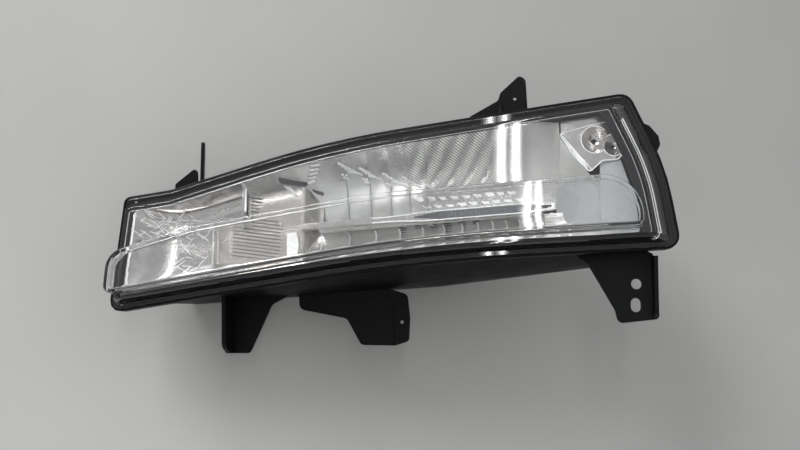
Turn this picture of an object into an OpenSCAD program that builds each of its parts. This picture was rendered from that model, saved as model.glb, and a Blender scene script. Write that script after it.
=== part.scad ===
// Daytime running light: a long clear lens with a raised band, glued into a moulded housing
// X runs towards the outer end of the lamp, Z is up and the lens faces -Y
// The origin is the round fixing hole of the lower outer bracket

/* [Lens outline] */
// Left end of the flange, measured from the middle of the lamp
left_reach = 198; // [192:1:206]
// Right end of the flange, measured from the middle of the lamp
right_reach = 184.5; // [180:1:192]
// Height of the top left corner above the lamp's centre line
left_top = 21.5; // [18:0.5:25]
// Height of the top right corner above the lamp's centre line
right_top = 89.5; // [86:0.5:93]
// Depth of the bottom left corner below the lamp's centre line
left_drop = 57.5; // [54:0.5:61]
// Depth of the bottom right corner below the lamp's centre line
right_drop = 15.4; // [13:0.2:18]
// Sweep-back of the right end behind the left end
bow_rise = 18; // [10:1:24]

/* [Lens] */
// Wall of the clear lens
lens_t = 2.4; // [2:0.1:3]
// Height of the lens face above the flange at the left end
face_h = 9; // [7:0.5:11]
// Height of the lens face above the flange at the right end
face_h_right = 13; // [11:0.5:15]
// Width of the sloping right hand lens wall
right_slope = 10.2; // [8:0.2:12]
// Height of the raised band's face above the flange
band_h = 23; // [20:0.5:26]
// Thickness of the lens flange
flange_t = 2.4; // [2:0.1:3]

/* [Housing] */
// Wall of the housing
wall = 2.2; // [1.8:0.1:2.8]
// Outer wall of the glue channel
rim_wall = 1.5; // [1.2:0.1:1.8]
// Width of the glue channel along the top and right
groove_w = 5.1; // [4.6:0.1:5.6]
// Width of the ledge inside the glue channel
ledge_w = 2; // [1.6:0.1:2.4]
// Depth of the glue channel's floor behind the flange plane
groove_d = 8; // [7.6:0.1:9]
// Distance from the flange plane to the outside of the rear wall
rear_y = 70; // [66:1:76]
// Thickness of the moulded brackets
bracket_t = 2.6; // [2.2:0.1:3.2]
// Thickness of the glue bead under the tongue
bead_t = 1; // [0.6:0.1:1.4]

/* [Mounting holes] */
// Diameter of the round hole in the lower outer bracket
bolt_d = 7; // [6:0.1:8]
// Width of the oblong hole in the lower outer bracket
slot_w = 6.6; // [6:0.1:7.2]
// Length of the oblong hole in the lower outer bracket
slot_l = 9.4; // [8:0.1:10.4]
// Diameter of the clip holes in the upper outer and lower middle tabs
clip_d = 2.4; // [2:0.1:3.2]
// Diameter of the hole in the upper inner tab
tab_d = 6; // [5:0.1:7]
// Turn of the upper inner tab about the vertical
tab_turn = 16; // [10:1:20]

/* [Bezel and reflectors] */
// Thickness of the black bezel
bezel_t = 1.2; // [1:0.1:1.2]
// Width of the bezel's wide right hand side
bezel_right = 14; // [12:0.5:16]
// Thickness of the reflector mouldings
reflector_t = 1.4; // [1.2:0.1:1.8]
// Depth of the upper reflector behind its front edge
upper_d = 36; // [32:1:38]
// Depth of the lower reflector behind its front edge
lower_d = 29; // [26:1:31]
// Depth of the left end reflector behind its front edge
left_d = 27; // [24:1:30]
// Step between neighbouring reflector cells
cell_step = 3; // [1:0.2:4]
// Pitch of the fluted panel's ridges
flute_pitch = 1.9; // [1.6:0.1:2.6]
// Depth of the fluted panel's ridges
flute_d = 0.8; // [0.5:0.1:1]
// Mouth radius of the corner cups
cup_r = 7.2; // [6.4:0.2:7.4]
// Depth of the corner cups
cup_d = 9; // [7:0.5:10]
// Radius of the light source hole in each corner cup
cup_hole_r = 2.6; // [2.2:0.1:3]

/* [Boards and heat sink] */
// Thickness of every circuit board
board_t = 1.6; // [1:0.1:2]
// Thickness of the heat sink's shelf
shelf_t = 3; // [2.4:0.1:3.6]
// Length of the heat sink's shelf
shelf_l = 154; // [140:1:158]
// Height of the chrome strip that covers the shelf's front edge
strip_h = 6.6; // [6:0.2:8]
// Number of cooling fins
fin_count = 12; // [6:1:16]
// Number of light sources on the upper board
upper_led_count = 6; // [4:1:8]
// Number of light sources on the lower board
lower_led_count = 12; // [8:1:14]
// Width of a light source
led_w = 3; // [2.4:0.1:3.5]

/* [Rear fittings] */
// Width of the driver cover
cover_w = 70; // [66:1:74]
// Height of the driver cover
cover_h = 42; // [40:1:44]
// Thickness of the driver cover
cover_t = 2.2; // [1.8:0.1:2.8]
// Thickness of the cover gasket
gasket_t = 1; // [0.8:0.1:1.6]
// Length of the connector shroud behind the rear wall
plug_l = 16; // [12:1:20]
// Width of the connector shroud
plug_w = 26; // [22:1:28]
// Height of the connector shroud
plug_h = 13; // [12:0.5:16]
// Number of connector pins
pin_count = 4; // [2:1:4]
// Outer radius of the vent nipples
vent_r = 4.5; // [4:0.1:5]
// Thread radius of the small self-tapping screws
screw_r = 1.6; // [1.4:0.1:1.8]

/* [Hidden] */

// Clearances between pieces
fit_gap = 0.15;
seat_gap = 0.2;
screw_gap = 0.2;
$fn = 48;

left_x = -left_reach;
right_x = right_reach;
lamp_w = right_x - left_x;

// Corners of the flange seen from the front, clockwise from the bottom left, with their radii
flange_corners = [
    [left_x, -left_drop],
    [left_x + 8.5, left_top],
    [left_x + 41, left_top + 4.7],
    [left_x + 148, right_top - 30.9],
    [right_x - 32, right_top],
    [right_x - 8.5, right_top - 51.5],
    [right_x, -right_drop],
    [10, -right_drop - 8.9]
];
flange_radii = [7, 5, 30, 700, 9, 160, 9, 1400];
// Corners of the rear wall
rear_corners = [
    [left_x + 26, -left_drop + 7.5],
    [left_x + 36, left_top - 13],
    [left_x + 66, left_top - 6],
    [left_x + 152, right_top - 46],
    [right_x - 38, right_top - 16],
    [right_x - 26, right_top - 55],
    [right_x - 30, -right_drop - 6],
    [22, -right_drop - 21.6]
];
rear_radii = [12, 14, 30, 240, 16, 60, 14, 60];
// Side of each edge: 0 left, 1 top, 2 right, 3 bottom
edge_side = [0, 1, 1, 1, 2, 2, 3, 3];
// Points on each corner's arc and extra points on each straight
arc_points = [4, 4, 5, 7, 5, 4, 5, 7];
edge_points = [0, 1, 2, 5, 1, 1, 6, 7];
smallest_radius = 2.5;

// Insets from the flange outline as [left, top, right, bottom]
rim_in = [rim_wall - 0.2, rim_wall, rim_wall, rim_wall];
groove_in = rim_in + [groove_w - 2.5, groove_w, groove_w, groove_w - 1.2];
ledge_in = groove_in + [ledge_w - 0.5, ledge_w, ledge_w, ledge_w - 0.2];
tongue_t = [1.7, 2.2, 2.2, 2.2];
tongue_out = rim_in + (groove_in - rim_in - tongue_t) / 2;
tongue_in = tongue_out + tongue_t;
lens_edge = rim_in + [0.3, 0.3, 0.3, 0.3];
lens_wall_in = ledge_in + [-0.1, 0.2, 0.2, -0.2];
lens_wall_out = lens_wall_in - [lens_t, lens_t, lens_t, lens_t];
face_slope = [2.4, 2.6, right_slope, 2.8];
round_in = [1.4, 1.2, 1.4, 1.2];
bezel_outer = groove_in + [0.4, 0.4, 0.4, 0.4];
bezel_inner = ledge_in + [0.9, 1.3, bezel_right, 1.1];
opening_in = ledge_in + [0.5, 0.5, 0.5, 0.5];

// Depths behind the flange plane
ledge_y = flange_t + bezel_t + fit_gap * 2;
bezel_y = flange_t + fit_gap;
edge_y = ledge_y + seat_gap;
tongue_y = groove_d - bead_t;
back_in_y = rear_y - wall;

// Sweep of the whole lamp
function along(x) = (x - left_x) / lamp_w;
function bow(x) = bow_rise * pow(max(along(x), 0), 2);
function mix(a, b, t) = a + (b - a) * t;
function smooth(t) = let (s = min(max(t, 0), 1)) s * s * (3 - 2 * s);

// Plane geometry for rounded outlines
function unit(v) = v / norm(v);
function inward(u) = [u[1], -u[0]];
function cross2(a, b) = a[0] * b[1] - a[1] * b[0];
function meet(p, u, q, v) = p + u * cross2(q - p, v) / cross2(u, v);
function inset_corner(c, i, before, after) =
    let (n = len(c), p = c[(i + n - 1) % n], q = c[i], r = c[(i + 1) % n])
    let (u = unit(q - p), v = unit(r - q))
    meet(q + inward(u) * before, u, q + inward(v) * after, v);
function inset_corners(c, s) =
    [for (i = [0:7]) inset_corner(c, i, s[edge_side[(i + 7) % 8]], s[edge_side[i]])];
function turns_right(c, i) =
    let (n = len(c), u = c[i] - c[(i + n - 1) % n], v = c[(i + 1) % n] - c[i])
    cross2(u, v) < 0;
function inset_radii(c, r, s) =
    [for (i = [0:7]) let (d = max(s[edge_side[(i + 7) % 8]], s[edge_side[i]]))
        turns_right(c, i) ? max(r[i] - d, smallest_radius) : r[i] + d];
function corner_arc(p, q, r, rad, n) =
    let (u = unit(q - p), v = unit(r - q), turn = atan2(cross2(u, v), u * v))
    let (start = q - u * rad * tan(abs(turn) / 2))
    let (centre = start - sign(turn) * rad * inward(u), w = start - centre)
    [for (k = [0:n - 1]) let (a = turn * k / (n - 1))
        centre + [w[0] * cos(a) - w[1] * sin(a), w[0] * sin(a) + w[1] * cos(a)]];
function corner_points(c, radii, i, n) =
    let (m = len(c))
    corner_arc(c[(i + m - 1) % m], c[i], c[(i + 1) % m], radii[i], n);
function straight(a, b, n) = n == 0 ? [] : [for (k = [1:n]) mix(a, b, k / (n + 1))];

// A closed outline that starts at the middle of the left end, with as many points above as below
function rounded(c, radii, arc_n = arc_points, edge_n = edge_points) =
    let (n = len(c), arcs = [for (i = [0:n - 1]) corner_points(c, radii, i, arc_n[i])])
    [for (j = [1:n])
        let (i = j % n, next = arcs[(i + 1) % n], last = arcs[i][arc_n[i] - 1])
        each concat(arcs[i], straight(last, next[0], edge_n[i]))];
function flange_outline(s) =
    rounded(inset_corners(flange_corners, s), inset_radii(flange_corners, flange_radii, s));
function rear_outline(d) =
    let (s = [d, d, d, d])
    rounded(inset_corners(rear_corners, s), inset_radii(rear_corners, rear_radii, s));
// A free polygon with a radius at each corner, given as [x, y, radius]
function rounded_polygon(c, n = 5) =
    let (m = len(c), p = [for (q = c) [q[0], q[1]]])
    [for (i = [0:m - 1]) each (c[i][2] == 0 ? [p[i]] :
        corner_arc(p[(i + m - 1) % m], p[i], p[(i + 1) % m], c[i][2], n))];

// Outlines lifted into the swept lamp, with one offset at the left end and one at the right
function swept(outline, off, off_right) =
    [for (p = outline) [p[0], bow(p[0]) + mix(off, off_right, along(p[0])), p[1]]];
function level(outline, y) = [for (p = outline) [p[0], y, p[1]]];

// Faces between neighbouring rings, and caps that pair each point with the one across
function band_faces(a, b, n) =
    [for (i = [0:n - 1]) let (k = (i + 1) % n)
        each [[a + i, b + i, b + k], [a + i, b + k, a + k]]];
function cap_faces(a, n) =
    [for (i = [0:n / 2 - 2])
        each [[a + i, a + i + 1, a + n - 1 - i], [a + i + 1, a + n - 2 - i, a + n - 1 - i]]];
function flipped(faces) = [for (f = faces) [f[2], f[1], f[0]]];

module moulding(rings) {
    n = len(rings[0]);
    m = len(rings);
    walls = [for (j = [0:m - 2]) each band_faces(j * n, (j + 1) * n, n)];
    polyhedron(
        points = [for (r = rings) each r],
        faces = concat(cap_faces(0, n), walls, flipped(cap_faces((m - 1) * n, n))),
        convexity = 8);
}

module hoop(rings) {
    n = len(rings[0]);
    m = len(rings);
    polyhedron(
        points = [for (r = rings) each r],
        faces = [for (j = [0:m - 1]) each band_faces(j * n, ((j + 1) % m) * n, n)],
        convexity = 8);
}

// A sheet given as rows of points, thickened by one shift
module sheet(rows, shift) {
    nu = len(rows[0]);
    nv = len(rows);
    total = nu * nv;
    front = [for (row = rows) each row];
    function quad(a, b, c, d) = [[a, b, c], [a, c, d]];
    polyhedron(
        points = concat(front, [for (p = front) p + shift]),
        faces = concat(
            [for (v = [0:nv - 2], u = [0:nu - 2]) let (a = v * nu + u)
                each quad(a, a + 1, a + nu + 1, a + nu)],
            [for (v = [0:nv - 2], u = [0:nu - 2]) let (a = total + v * nu + u)
                each quad(a, a + nu, a + nu + 1, a + 1)],
            [for (u = [0:nu - 2]) each quad(u + 1, u, total + u, total + u + 1)],
            [for (u = [0:nu - 2]) let (a = (nv - 1) * nu + u)
                each quad(a, a + 1, total + a + 1, total + a)],
            [for (v = [0:nv - 2]) let (a = v * nu)
                each quad(a, a + nu, total + a + nu, total + a)],
            [for (v = [0:nv - 2]) let (a = v * nu + nu - 1)
                each quad(a + nu, a, total + a, total + a + nu)]),
        convexity = 10);
}

// An upright plate: an outline in X and Z, its front face at y, its thickness running back
module upright_plate(outline, y, t) {
    translate([0, y + t, 0])
        rotate([90, 0, 0])
            linear_extrude(height = t)
                polygon(outline);
}

// A round hole or pin along Y
module rod_y(x, z, r, y, length) {
    translate([x, y, z])
        rotate([-90, 0, 0])
            cylinder(r = r, h = length);
}

// A tube that follows a list of points
function sweep_ring(path, i, r, n) =
    let (m = len(path))
    let (t = unit(path[min(i + 1, m - 1)] - path[max(i - 1, 0)]))
    let (side = unit(cross(t, [0.3, 0.2, 1])), up = cross(side, t))
    [for (k = [0:n - 1]) path[i] + r * (cos(360 * k / n) * side + sin(360 * k / n) * up)];
module tube(path, r, n = 8) {
    m = len(path);
    rings = [for (i = [0:m - 1]) sweep_ring(path, i, r, n)];
    polyhedron(
        points = [for (ring = rings) each ring],
        faces = concat(
            [[for (k = [0:n - 1]) k]],
            [for (j = [0:m - 2]) each flipped(band_faces((j + 1) * n, j * n, n))],
            [[for (k = [n - 1:-1:0]) (m - 1) * n + k]]),
        convexity = 4);
}

// Everything is drawn in the lamp's frame and moved so that the lower outer hole is the origin
bolt_x = right_x - 28.5;
bolt_y = 32;
bolt_z = -right_drop - 22.6;
module in_row_frame() {
    translate([-bolt_x, -bolt_y, -bolt_z])
        children();
}

// Raised band of the lens: corners clockwise from the bottom left, with radii
band_corners = [
    [left_x + 4.8, -left_drop + 11.5],
    [left_x + 6.8, -left_drop + 39],
    [left_x + 62, left_top - 23.5],
    [left_x + 182, left_top - 2.5],
    [right_x - 27, left_top + 10.5],
    [right_x - 27.5, -right_drop + 12.6],
    [10, -right_drop + 3.8]
];
band_radii = [5, 15, 120, 500, 26, 5, 1200];
band_arcs = [6, 6, 6, 6, 6, 6, 6];
band_edges = [0, 2, 3, 6, 0, 8, 9];
function band_outline(d) =
    let (n = len(band_corners))
    rounded(
        [for (i = [0:n - 1]) inset_corner(band_corners, i, d, d)],
        [for (i = [0:n - 1]) turns_right(band_corners, i) ? max(band_radii[i] - d, 1.5) : band_radii[i] + d],
        band_arcs, band_edges);
band_draft = 1.2;
module band_block(d, front, back) {
    moulding([
        swept(band_outline(d + 1), -front, -front),
        swept(band_outline(d + 0.2), -front + 0.8, -front + 0.8),
        swept(band_outline(d - band_draft), -back, -back)
    ]);
}

module lens() {
    color([0.92, 0.95, 0.97, 0.35])
        in_row_frame()
            difference() {
                union() {
                    moulding([
                        swept(flange_outline(lens_wall_out + face_slope + round_in), -face_h, -face_h_right),
                        swept(flange_outline(lens_wall_out + face_slope), -face_h + 0.9, -face_h_right + 0.9),
                        swept(flange_outline(lens_wall_out), 0, 0),
                        swept(flange_outline(lens_edge), 0, 0),
                        swept(flange_outline(lens_edge), flange_t, flange_t),
                        swept(flange_outline(tongue_out), flange_t, flange_t),
                        swept(flange_outline(tongue_out), tongue_y, tongue_y),
                        swept(flange_outline(tongue_in), tongue_y, tongue_y),
                        swept(flange_outline(tongue_in), flange_t, flange_t),
                        swept(flange_outline(lens_wall_in), flange_t, flange_t),
                        swept(flange_outline(lens_wall_in + face_slope), lens_t - face_h + 0.9,
                            lens_t - face_h_right + 0.9),
                        swept(flange_outline(lens_wall_in + face_slope + round_in), lens_t - face_h,
                            lens_t - face_h_right)
                    ]);
                    band_block(0, band_h, face_h - 1);
                }
                band_block(lens_t, band_h - lens_t, 2);
            }
}

module glue_bead() {
    low = groove_d - fit_gap;
    high = tongue_y + fit_gap;
    color("dimgray")
        in_row_frame()
            hoop([
                swept(flange_outline(rim_in + [fit_gap, fit_gap, fit_gap, fit_gap]), high, high),
                swept(flange_outline(rim_in + [fit_gap, fit_gap, fit_gap, fit_gap]), low, low),
                swept(flange_outline(groove_in - [fit_gap, fit_gap, fit_gap, fit_gap]), low, low),
                swept(flange_outline(groove_in - [fit_gap, fit_gap, fit_gap, fit_gap]), high, high)
            ]);
}

// Housing body: rings that run from the flange outline to the rear wall's outline
body_steps = 5;
function body_ring(inner, u) =
    let (d = inner ? ledge_in : ledge_in - [wall, wall, wall, wall])
    let (front = flange_outline(d), back = rear_outline(inner ? wall : 0))
    let (deep = rear_y - (inner ? wall : 0) - 4)
    [for (i = [0:len(front) - 1])
        let (p = mix(front[i], back[i], sin(90 * u)))
        [p[0], mix(bow(front[i][0]) + groove_d + wall, deep, u), p[1]]];

module housing_shell() {
    floor_y = groove_d + wall - 0.4;
    moulding(concat(
        [level(rear_outline(wall + 4), back_in_y), level(rear_outline(wall + 1), back_in_y - 1)],
        [for (k = [body_steps:-1:0]) body_ring(true, k / body_steps)],
        [
            swept(flange_outline(ledge_in), ledge_y, ledge_y),
            swept(flange_outline(groove_in), ledge_y, ledge_y),
            swept(flange_outline(groove_in), groove_d, groove_d),
            swept(flange_outline(rim_in), groove_d, groove_d),
            swept(flange_outline(rim_in), 0.4, 0.4),
            swept(flange_outline([0, 0, 0, 0]), 0.8, 0.8),
            swept(flange_outline([0, 0, 0, 0]), floor_y, floor_y)
        ],
        [for (k = [0:body_steps]) body_ring(false, k / body_steps)],
        [level(rear_outline(1), rear_y - 1), level(rear_outline(4), rear_y)]));
}

// Outlines that keep their place at one corner of the lamp, given as [x, z, radius]
function placed(c, corner) = [for (q = c) [q[0] + corner[0], q[1] + corner[1], q[2]]];
low_left = [left_x, -left_drop];
top_left = [left_x, left_top];
low_right = [right_x, -right_drop];
top_right = [right_x, right_top];

// Brackets
lower_outer = placed([
    [-72.5, 7.4, 0], [-66.5, -4.6, 4], [-60.5, -8.6, 4], [-43, -40.1, 14], [-41, -49, 4],
    [-13.9, -46.1, 3], [-16.9, -2.6, 2], [-34.5, 7.4, 0]
], low_right);
lower_inner = placed([
    [70.8, -27.1, 2], [85, -27.1, 3], [100.5, 7.5, 6], [114, 14.5, 5], [116, 27.5, 0], [70.8, 27.5, 0]
], low_left);
lower_middle = placed([
    [118, 29.5, 0], [119.6, 4.1, 5], [154, -2.5, 5], [164.5, -21.3, 4], [188.7, -21.7, 4],
    [198.6, -18.5, 3], [199.4, -2.5, 8], [197.6, 14.5, 4], [182, 19.5, 4], [176, 29.5, 0]
], low_left);
upper_outer = placed([
    [-140.5, -37.5, 0], [-139.3, -8.2, 2], [-119.1, 3.1, 3], [-117.5, 8.5, 4],
    [-103.7, 21.1, 3], [-99.5, 17.5, 4], [-96.9, -37.5, 0]
], top_right);
upper_inner = placed([[35, -15.5, 0], [35, 12.9, 2], [50.4, 25.1, 2], [52.8, -15.5, 0]], top_left);
side_lug = placed([
    [-23.6, -20, 0], [-18.5, -22.5, 2], [-12.9, -29.5, 2], [-11.9, -35.5, 2], [-14.3, -40.5, 0]
], top_right);
slot_z = bolt_z - 14.1;
slot_x = bolt_x - 0.8;
clip_upper = top_right + [-107.3, 4.1];
clip_lower = low_left + [193.6, -5.1];
middle_y = 55;
inner_y = 50;
upper_y = 40;
tab_x = left_x + 50.8;
tab_y = 34;
tab_z = left_top + 34.5;
tab_reach = [9, 12];
cut_l = 12;

// A plate that stands across X, with its outline in Y and Z
module side_plate(outline, x, t) {
    translate([x, 0, 0])
        rotate([90, 0, 90])
            linear_extrude(height = t)
                polygon(outline);
}

// The space inside the middle of the housing's wall, which the brackets stay out of
module inside_of_wall() {
    half = wall / 2;
    mid = ledge_in - [half, half, half, half];
    moulding(concat(
        [swept(flange_outline(mid), groove_d + 0.3, groove_d + 0.3)],
        [for (k = [0:body_steps])
            let (u = k / body_steps, front = flange_outline(mid), back = rear_outline(half))
            [for (i = [0:len(front) - 1])
                let (q = mix(front[i], back[i], sin(90 * u)))
                [q[0], mix(bow(front[i][0]) + groove_d + wall, rear_y - half - 4, u), q[1]]]],
        [level(rear_outline(half + 1), rear_y - half - 1), level(rear_outline(half + 4), rear_y - half)]));
}

module bracket_plates() {
    outer_rib = placed([[bolt_y - 12, -4.6, 0], [bolt_y - 9, -42.6, 4], [bolt_y - 1, -45.6, 1],
        [bolt_y, -4.6, 0]], [0, -right_drop]);
    inner_rib = placed([[inner_y - 26, 23.5, 0], [inner_y - 22, -22.5, 6], [inner_y - 10, -27.1, 3],
        [inner_y + bracket_t, -27.1, 0], [inner_y + bracket_t, 23.5, 0]], [0, -left_drop]);
    middle_rib = placed([[middle_y - 1.8, 3.5, 1], [middle_y - 1.8, -20, 1], [middle_y + 1, -21, 0],
        [middle_y + 1, 5, 0]], [0, -left_drop]);
    upper_rib = placed([[upper_y - 14, -35, 0], [upper_y - 14, -10, 3], [upper_y, 2, 1],
        [upper_y + 1, -35, 0]], [0, right_top]);
    tab = placed([[-tab_reach[0], -15.5, 0], [-tab_reach[0] + 1, 43.9, 5], [tab_reach[0], 43.9, 5],
        [tab_reach[1], -15.5, 0]], [0, left_top]);
    upright_plate(rounded_polygon(lower_outer), bolt_y - bracket_t / 2, bracket_t);
    side_plate(rounded_polygon(outer_rib), right_x - 15.5 - bracket_t, bracket_t);
    upright_plate(rounded_polygon(lower_inner), inner_y, bracket_t);
    side_plate(rounded_polygon(inner_rib), left_x + 70.8, bracket_t);
    upright_plate(rounded_polygon(lower_middle), middle_y, bracket_t);
    side_plate(rounded_polygon(middle_rib), left_x + 186.4, bracket_t / 2);
    upright_plate(rounded_polygon(upper_outer), upper_y, bracket_t);
    side_plate(rounded_polygon(upper_rib), right_x - 119.1, bracket_t);
    upright_plate(rounded_polygon(upper_inner), tab_y - 8, bracket_t);
    translate([tab_x, tab_y, 0])
        rotate([0, 0, tab_turn])
            side_plate(rounded_polygon(tab), 0, bracket_t);
}

// Gussets between the glue channel and the top of the body
gusset_t = 1.8;
gusset_places = [left_x + 88, left_x + 133, left_x + 178, left_x + 218, right_x - 74.5, right_x - 50];
module gussets() {
    for (x = gusset_places) {
        start = bow(x) + groove_d + 1;
        top = opening_top(x);
        side_plate([[start, top + 6.5], [start + 22, top - 4], [start + 22, top - 20], [start, top - 8]],
            x, gusset_t);
    }
}

// Rear fittings stand at these places on the rear wall
cover_x = left_x + 74;
cover_z = -left_drop + 38.5;
plug_x = left_x + 148;
plug_z = -left_drop + 49.5;
vents = [top_left + [174, 8.5], top_right + [-72.5, -43.5]];
cover_hole_w = cover_w - 16;
cover_hole_h = cover_h - 12;
cover_screw_dx = cover_w / 2 - 4;
cover_screw_dz = cover_h / 2 - 4;
boss_r = screw_r + 2;
screw_l = 9;
head_r = screw_r + 1.2;
head_h = 1.8;
corner_posts = [top_right + [-66, -40], top_right + [-48.5, -22.1]];
corner_y = bow(right_x - 54.5) + 11;
corner_board_y = corner_y + cup_d + seat_gap;
// Heat sink: its flange and fins in the shelf's frame, and the posts that carry it
fin_y = 46;
sink_flange = 3;
fin_t = 2;
fin_x = 8;
fin_pitch = (shelf_l - 2 * fin_x - fin_t) / (fin_count - 1);
sink_posts = [for (k = [0.5, fin_count - 1.5]) [fin_x + fin_t / 2 + fin_pitch * k, k < 1 ? 7 : -7]];
function sink_post_end(x) =
    (rear_y - wall / 2 - bow(shelf_x) - x * sin(shelf_yaw)) / cos(shelf_yaw);

module cover_screw_places() {
    for (sx = [-1, 1], sz = [-1, 1])
        translate([cover_x + sx * cover_screw_dx, 0, cover_z + sz * cover_screw_dz])
            children();
}

module rear_housing() {
    color([0.07, 0.07, 0.08])
        in_row_frame()
            difference() {
                union() {
                    housing_shell();
                    difference() {
                        union() {
                            bracket_plates();
                            gussets();
                        }
                        inside_of_wall();
                    }
                    upright_plate(rounded_polygon(side_lug, 4), bow(side_lug[2][0]) + 1.5, 7);
                    for (p = corner_posts)
                        rod_y(p[0], p[1], boss_r, corner_board_y + board_t + seat_gap,
                            rear_y - wall / 2 - corner_board_y - board_t - seat_gap);
                    for (p = sink_posts)
                        on_shelf()
                            rod_y(p[0], p[1], boss_r, fin_y + sink_flange + seat_gap,
                                sink_post_end(p[0]) - fin_y - sink_flange - seat_gap);
                    cover_screw_places()
                        rod_y(0, 0, boss_r, back_in_y - 6, 7);
                    for (v = vents)
                        rod_y(v[0], v[1], vent_r, rear_y - 1, 9);
                }
                translate([cover_x - cover_hole_w / 2, back_in_y - 4, cover_z - cover_hole_h / 2])
                    cube([cover_hole_w, wall + 8, cover_hole_h]);
                translate([plug_x - plug_w / 2 + 1, back_in_y - 4, plug_z - plug_h / 2 + 1])
                    cube([plug_w - 2, wall + 8, plug_h - 2]);
                cover_screw_places()
                    rod_y(0, 0, screw_r, back_in_y - 4, cut_l);
                for (p = corner_posts)
                    rod_y(p[0], p[1], screw_r, corner_board_y, cut_l);
                for (p = sink_posts)
                    on_shelf()
                        rod_y(p[0], p[1], screw_r, fin_y, cut_l);
                for (v = vents)
                    rod_y(v[0], v[1], vent_r - 1.6, back_in_y - 4, 20);
                rod_y(bolt_x, bolt_z, bolt_d / 2, bolt_y - cut_l / 2, cut_l);
                for (s = [-1, 1])
                    rod_y(slot_x, slot_z + s * (slot_l - slot_w) / 2, slot_w / 2, bolt_y - cut_l / 2, cut_l);
                translate([slot_x - slot_w / 2, bolt_y - cut_l / 2, slot_z - (slot_l - slot_w) / 2])
                    cube([slot_w, cut_l, slot_l - slot_w]);
                rod_y(clip_upper[0], clip_upper[1], clip_d / 2, upper_y - 3, cut_l);
                rod_y(clip_lower[0], clip_lower[1], clip_d / 2, middle_y - 3, cut_l);
                translate([tab_x, tab_y, tab_z])
                    rotate([0, 0, tab_turn])
                        translate([-cut_l / 2, 0, 0])
                            rotate([0, 90, 0])
                                cylinder(r = tab_d / 2, h = cut_l);
            }
}

module bezel_frame() {
    back = bezel_y + bezel_t;
    color([0.05, 0.05, 0.06])
        in_row_frame()
            hoop([
                swept(flange_outline(bezel_outer), bezel_y, bezel_y),
                swept(flange_outline(bezel_outer), back, back),
                swept(flange_outline(bezel_inner), back, back),
                swept(flange_outline(bezel_inner), bezel_y, bezel_y)
            ]);
}

// Height of the opening's top and bottom edge at x
opening = flange_outline(opening_in);
opening_top_table = [for (i = [2:29]) opening[i]];
opening_bottom_table = [for (i = [34:62]) opening[i]];
function opening_top(x) = lookup(x, opening_top_table);
function opening_bottom(x) = lookup(x, opening_bottom_table);

// The shelf that divides the lamp: its middle plane rises towards the right
shelf_x = left_x + 140;
shelf_z = 1.7;
shelf_slope = 0.077;
shelf_tilt = atan(shelf_slope);
shelf_yaw = 3;
function shelf_mid(x) = shelf_z + shelf_slope * (x - shelf_x);
module on_shelf() {
    translate([shelf_x, bow(shelf_x), shelf_z])
        rotate([0, -shelf_tilt, shelf_yaw])
            children();
}

// Reflector sections, with v running from the front edge to the shelf
function bowl(v) = 1 - pow(1 - v, 2);
riser_w = 1;
upper_left = left_x + 88;
upper_cells = [for (d = [0, 18, 34, 48, 61, 73]) shelf_x + d];
lower_left = left_x + 67;
lower_right = right_x - 53.5;
lower_cells = [for (d = [0, 20, 38.5, 55, 71, 85.5, 98, 109, 119, 128.5, 137.5, 146.5, 155]) shelf_x + d];
upper_seat = shelf_t / 2 + seat_gap;

// Sawtooth of the cells: it comes forward along each cell and steps back at its riser
function saw(x, edges) =
    let (n = len(edges))
    x < edges[0] || x > edges[n - 1] ? 0 :
    let (i = max([for (k = [0:n - 2]) x >= edges[k] ? k : 0]))
    let (t = (x - edges[i]) / (edges[i + 1] - edges[i]))
    t * t;
function cell_stations(edges) =
    [for (k = [0:len(edges) - 2], t = [0, 0.35, 0.7, 1])
        mix(edges[k] + (t == 0 ? riser_w * 0.5 : 0), edges[k + 1] - (t == 1 ? riser_w * 0.5 : 0), t)];

// Past corner_x the upper reflector's edge runs down under the corner reflector's slanting edge
corner_x = right_x - 78;
corner_z = right_top - 26.5;
corner_fall = 4 / 3;
function upper_point(x, v) =
    let (past = x > corner_x)
    let (top = past ? corner_z - (x - corner_x) * corner_fall - 0.8 : opening_top(x) - 0.2)
    let (start = past ? corner_y + corner_t + seat_gap : bow(x) + edge_y)
    let (deep = bow(x) + edge_y + upper_d, w = past ? pow(v, 1.6) : v)
    [x, mix(start, deep, bowl(w)) - cell_step * saw(x, upper_cells) * min(v * 3, 1),
        mix(top, shelf_mid(x) + upper_seat, v)];
upper_wall_y = 7;
upper_stations = concat(
    [for (x = [upper_left + 3:12:shelf_x - 4]) x], cell_stations(upper_cells),
    [for (k = [0:7]) mix(shelf_x + 82, corner_x - 0.4, k / 7)],
    [for (k = [0:3]) mix(corner_x + 0.4, lower_right, k / 3)]);
reflector_rows = [0, 0.12, 0.28, 0.46, 0.66, 0.84, 1];

module upper_reflector() {
    function wall_point(x, v) =
        let (p = upper_point(x, v)) [x, min(p[1], bow(x) + edge_y + upper_wall_y), p[2]];
    color([0.85, 0.86, 0.88])
        in_row_frame()
            sheet(
                [for (v = reflector_rows) concat(
                    [wall_point(upper_left, v), wall_point(upper_left + 1.6, v)],
                    [for (x = concat([upper_left + 2.4], upper_stations)) upper_point(x, v)])],
                [0, reflector_t, reflector_t * 0.4]);
}

lower_raise = 6;
function lower_top(x) = shelf_mid(x) - upper_seat + lower_raise * smooth((upper_left - 1.5 - x) / 2);
function lower_point(x, v) =
    let (low = opening_bottom(x) + 0.2, top = lower_top(x))
    [x, bow(x) + edge_y + lower_d * bowl(v) - cell_step * saw(x, lower_cells) * min(v * 3, 1),
        mix(low, top, v)];
lower_wall_y = 9;
lower_stations = concat(
    [lower_left + 10, upper_left - 4, upper_left - 1], [for (x = [upper_left + 10:10:shelf_x - 4]) x],
    cell_stations(lower_cells), [for (k = [0:3]) mix(shelf_x + 159, lower_right, k / 3)]);

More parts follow.
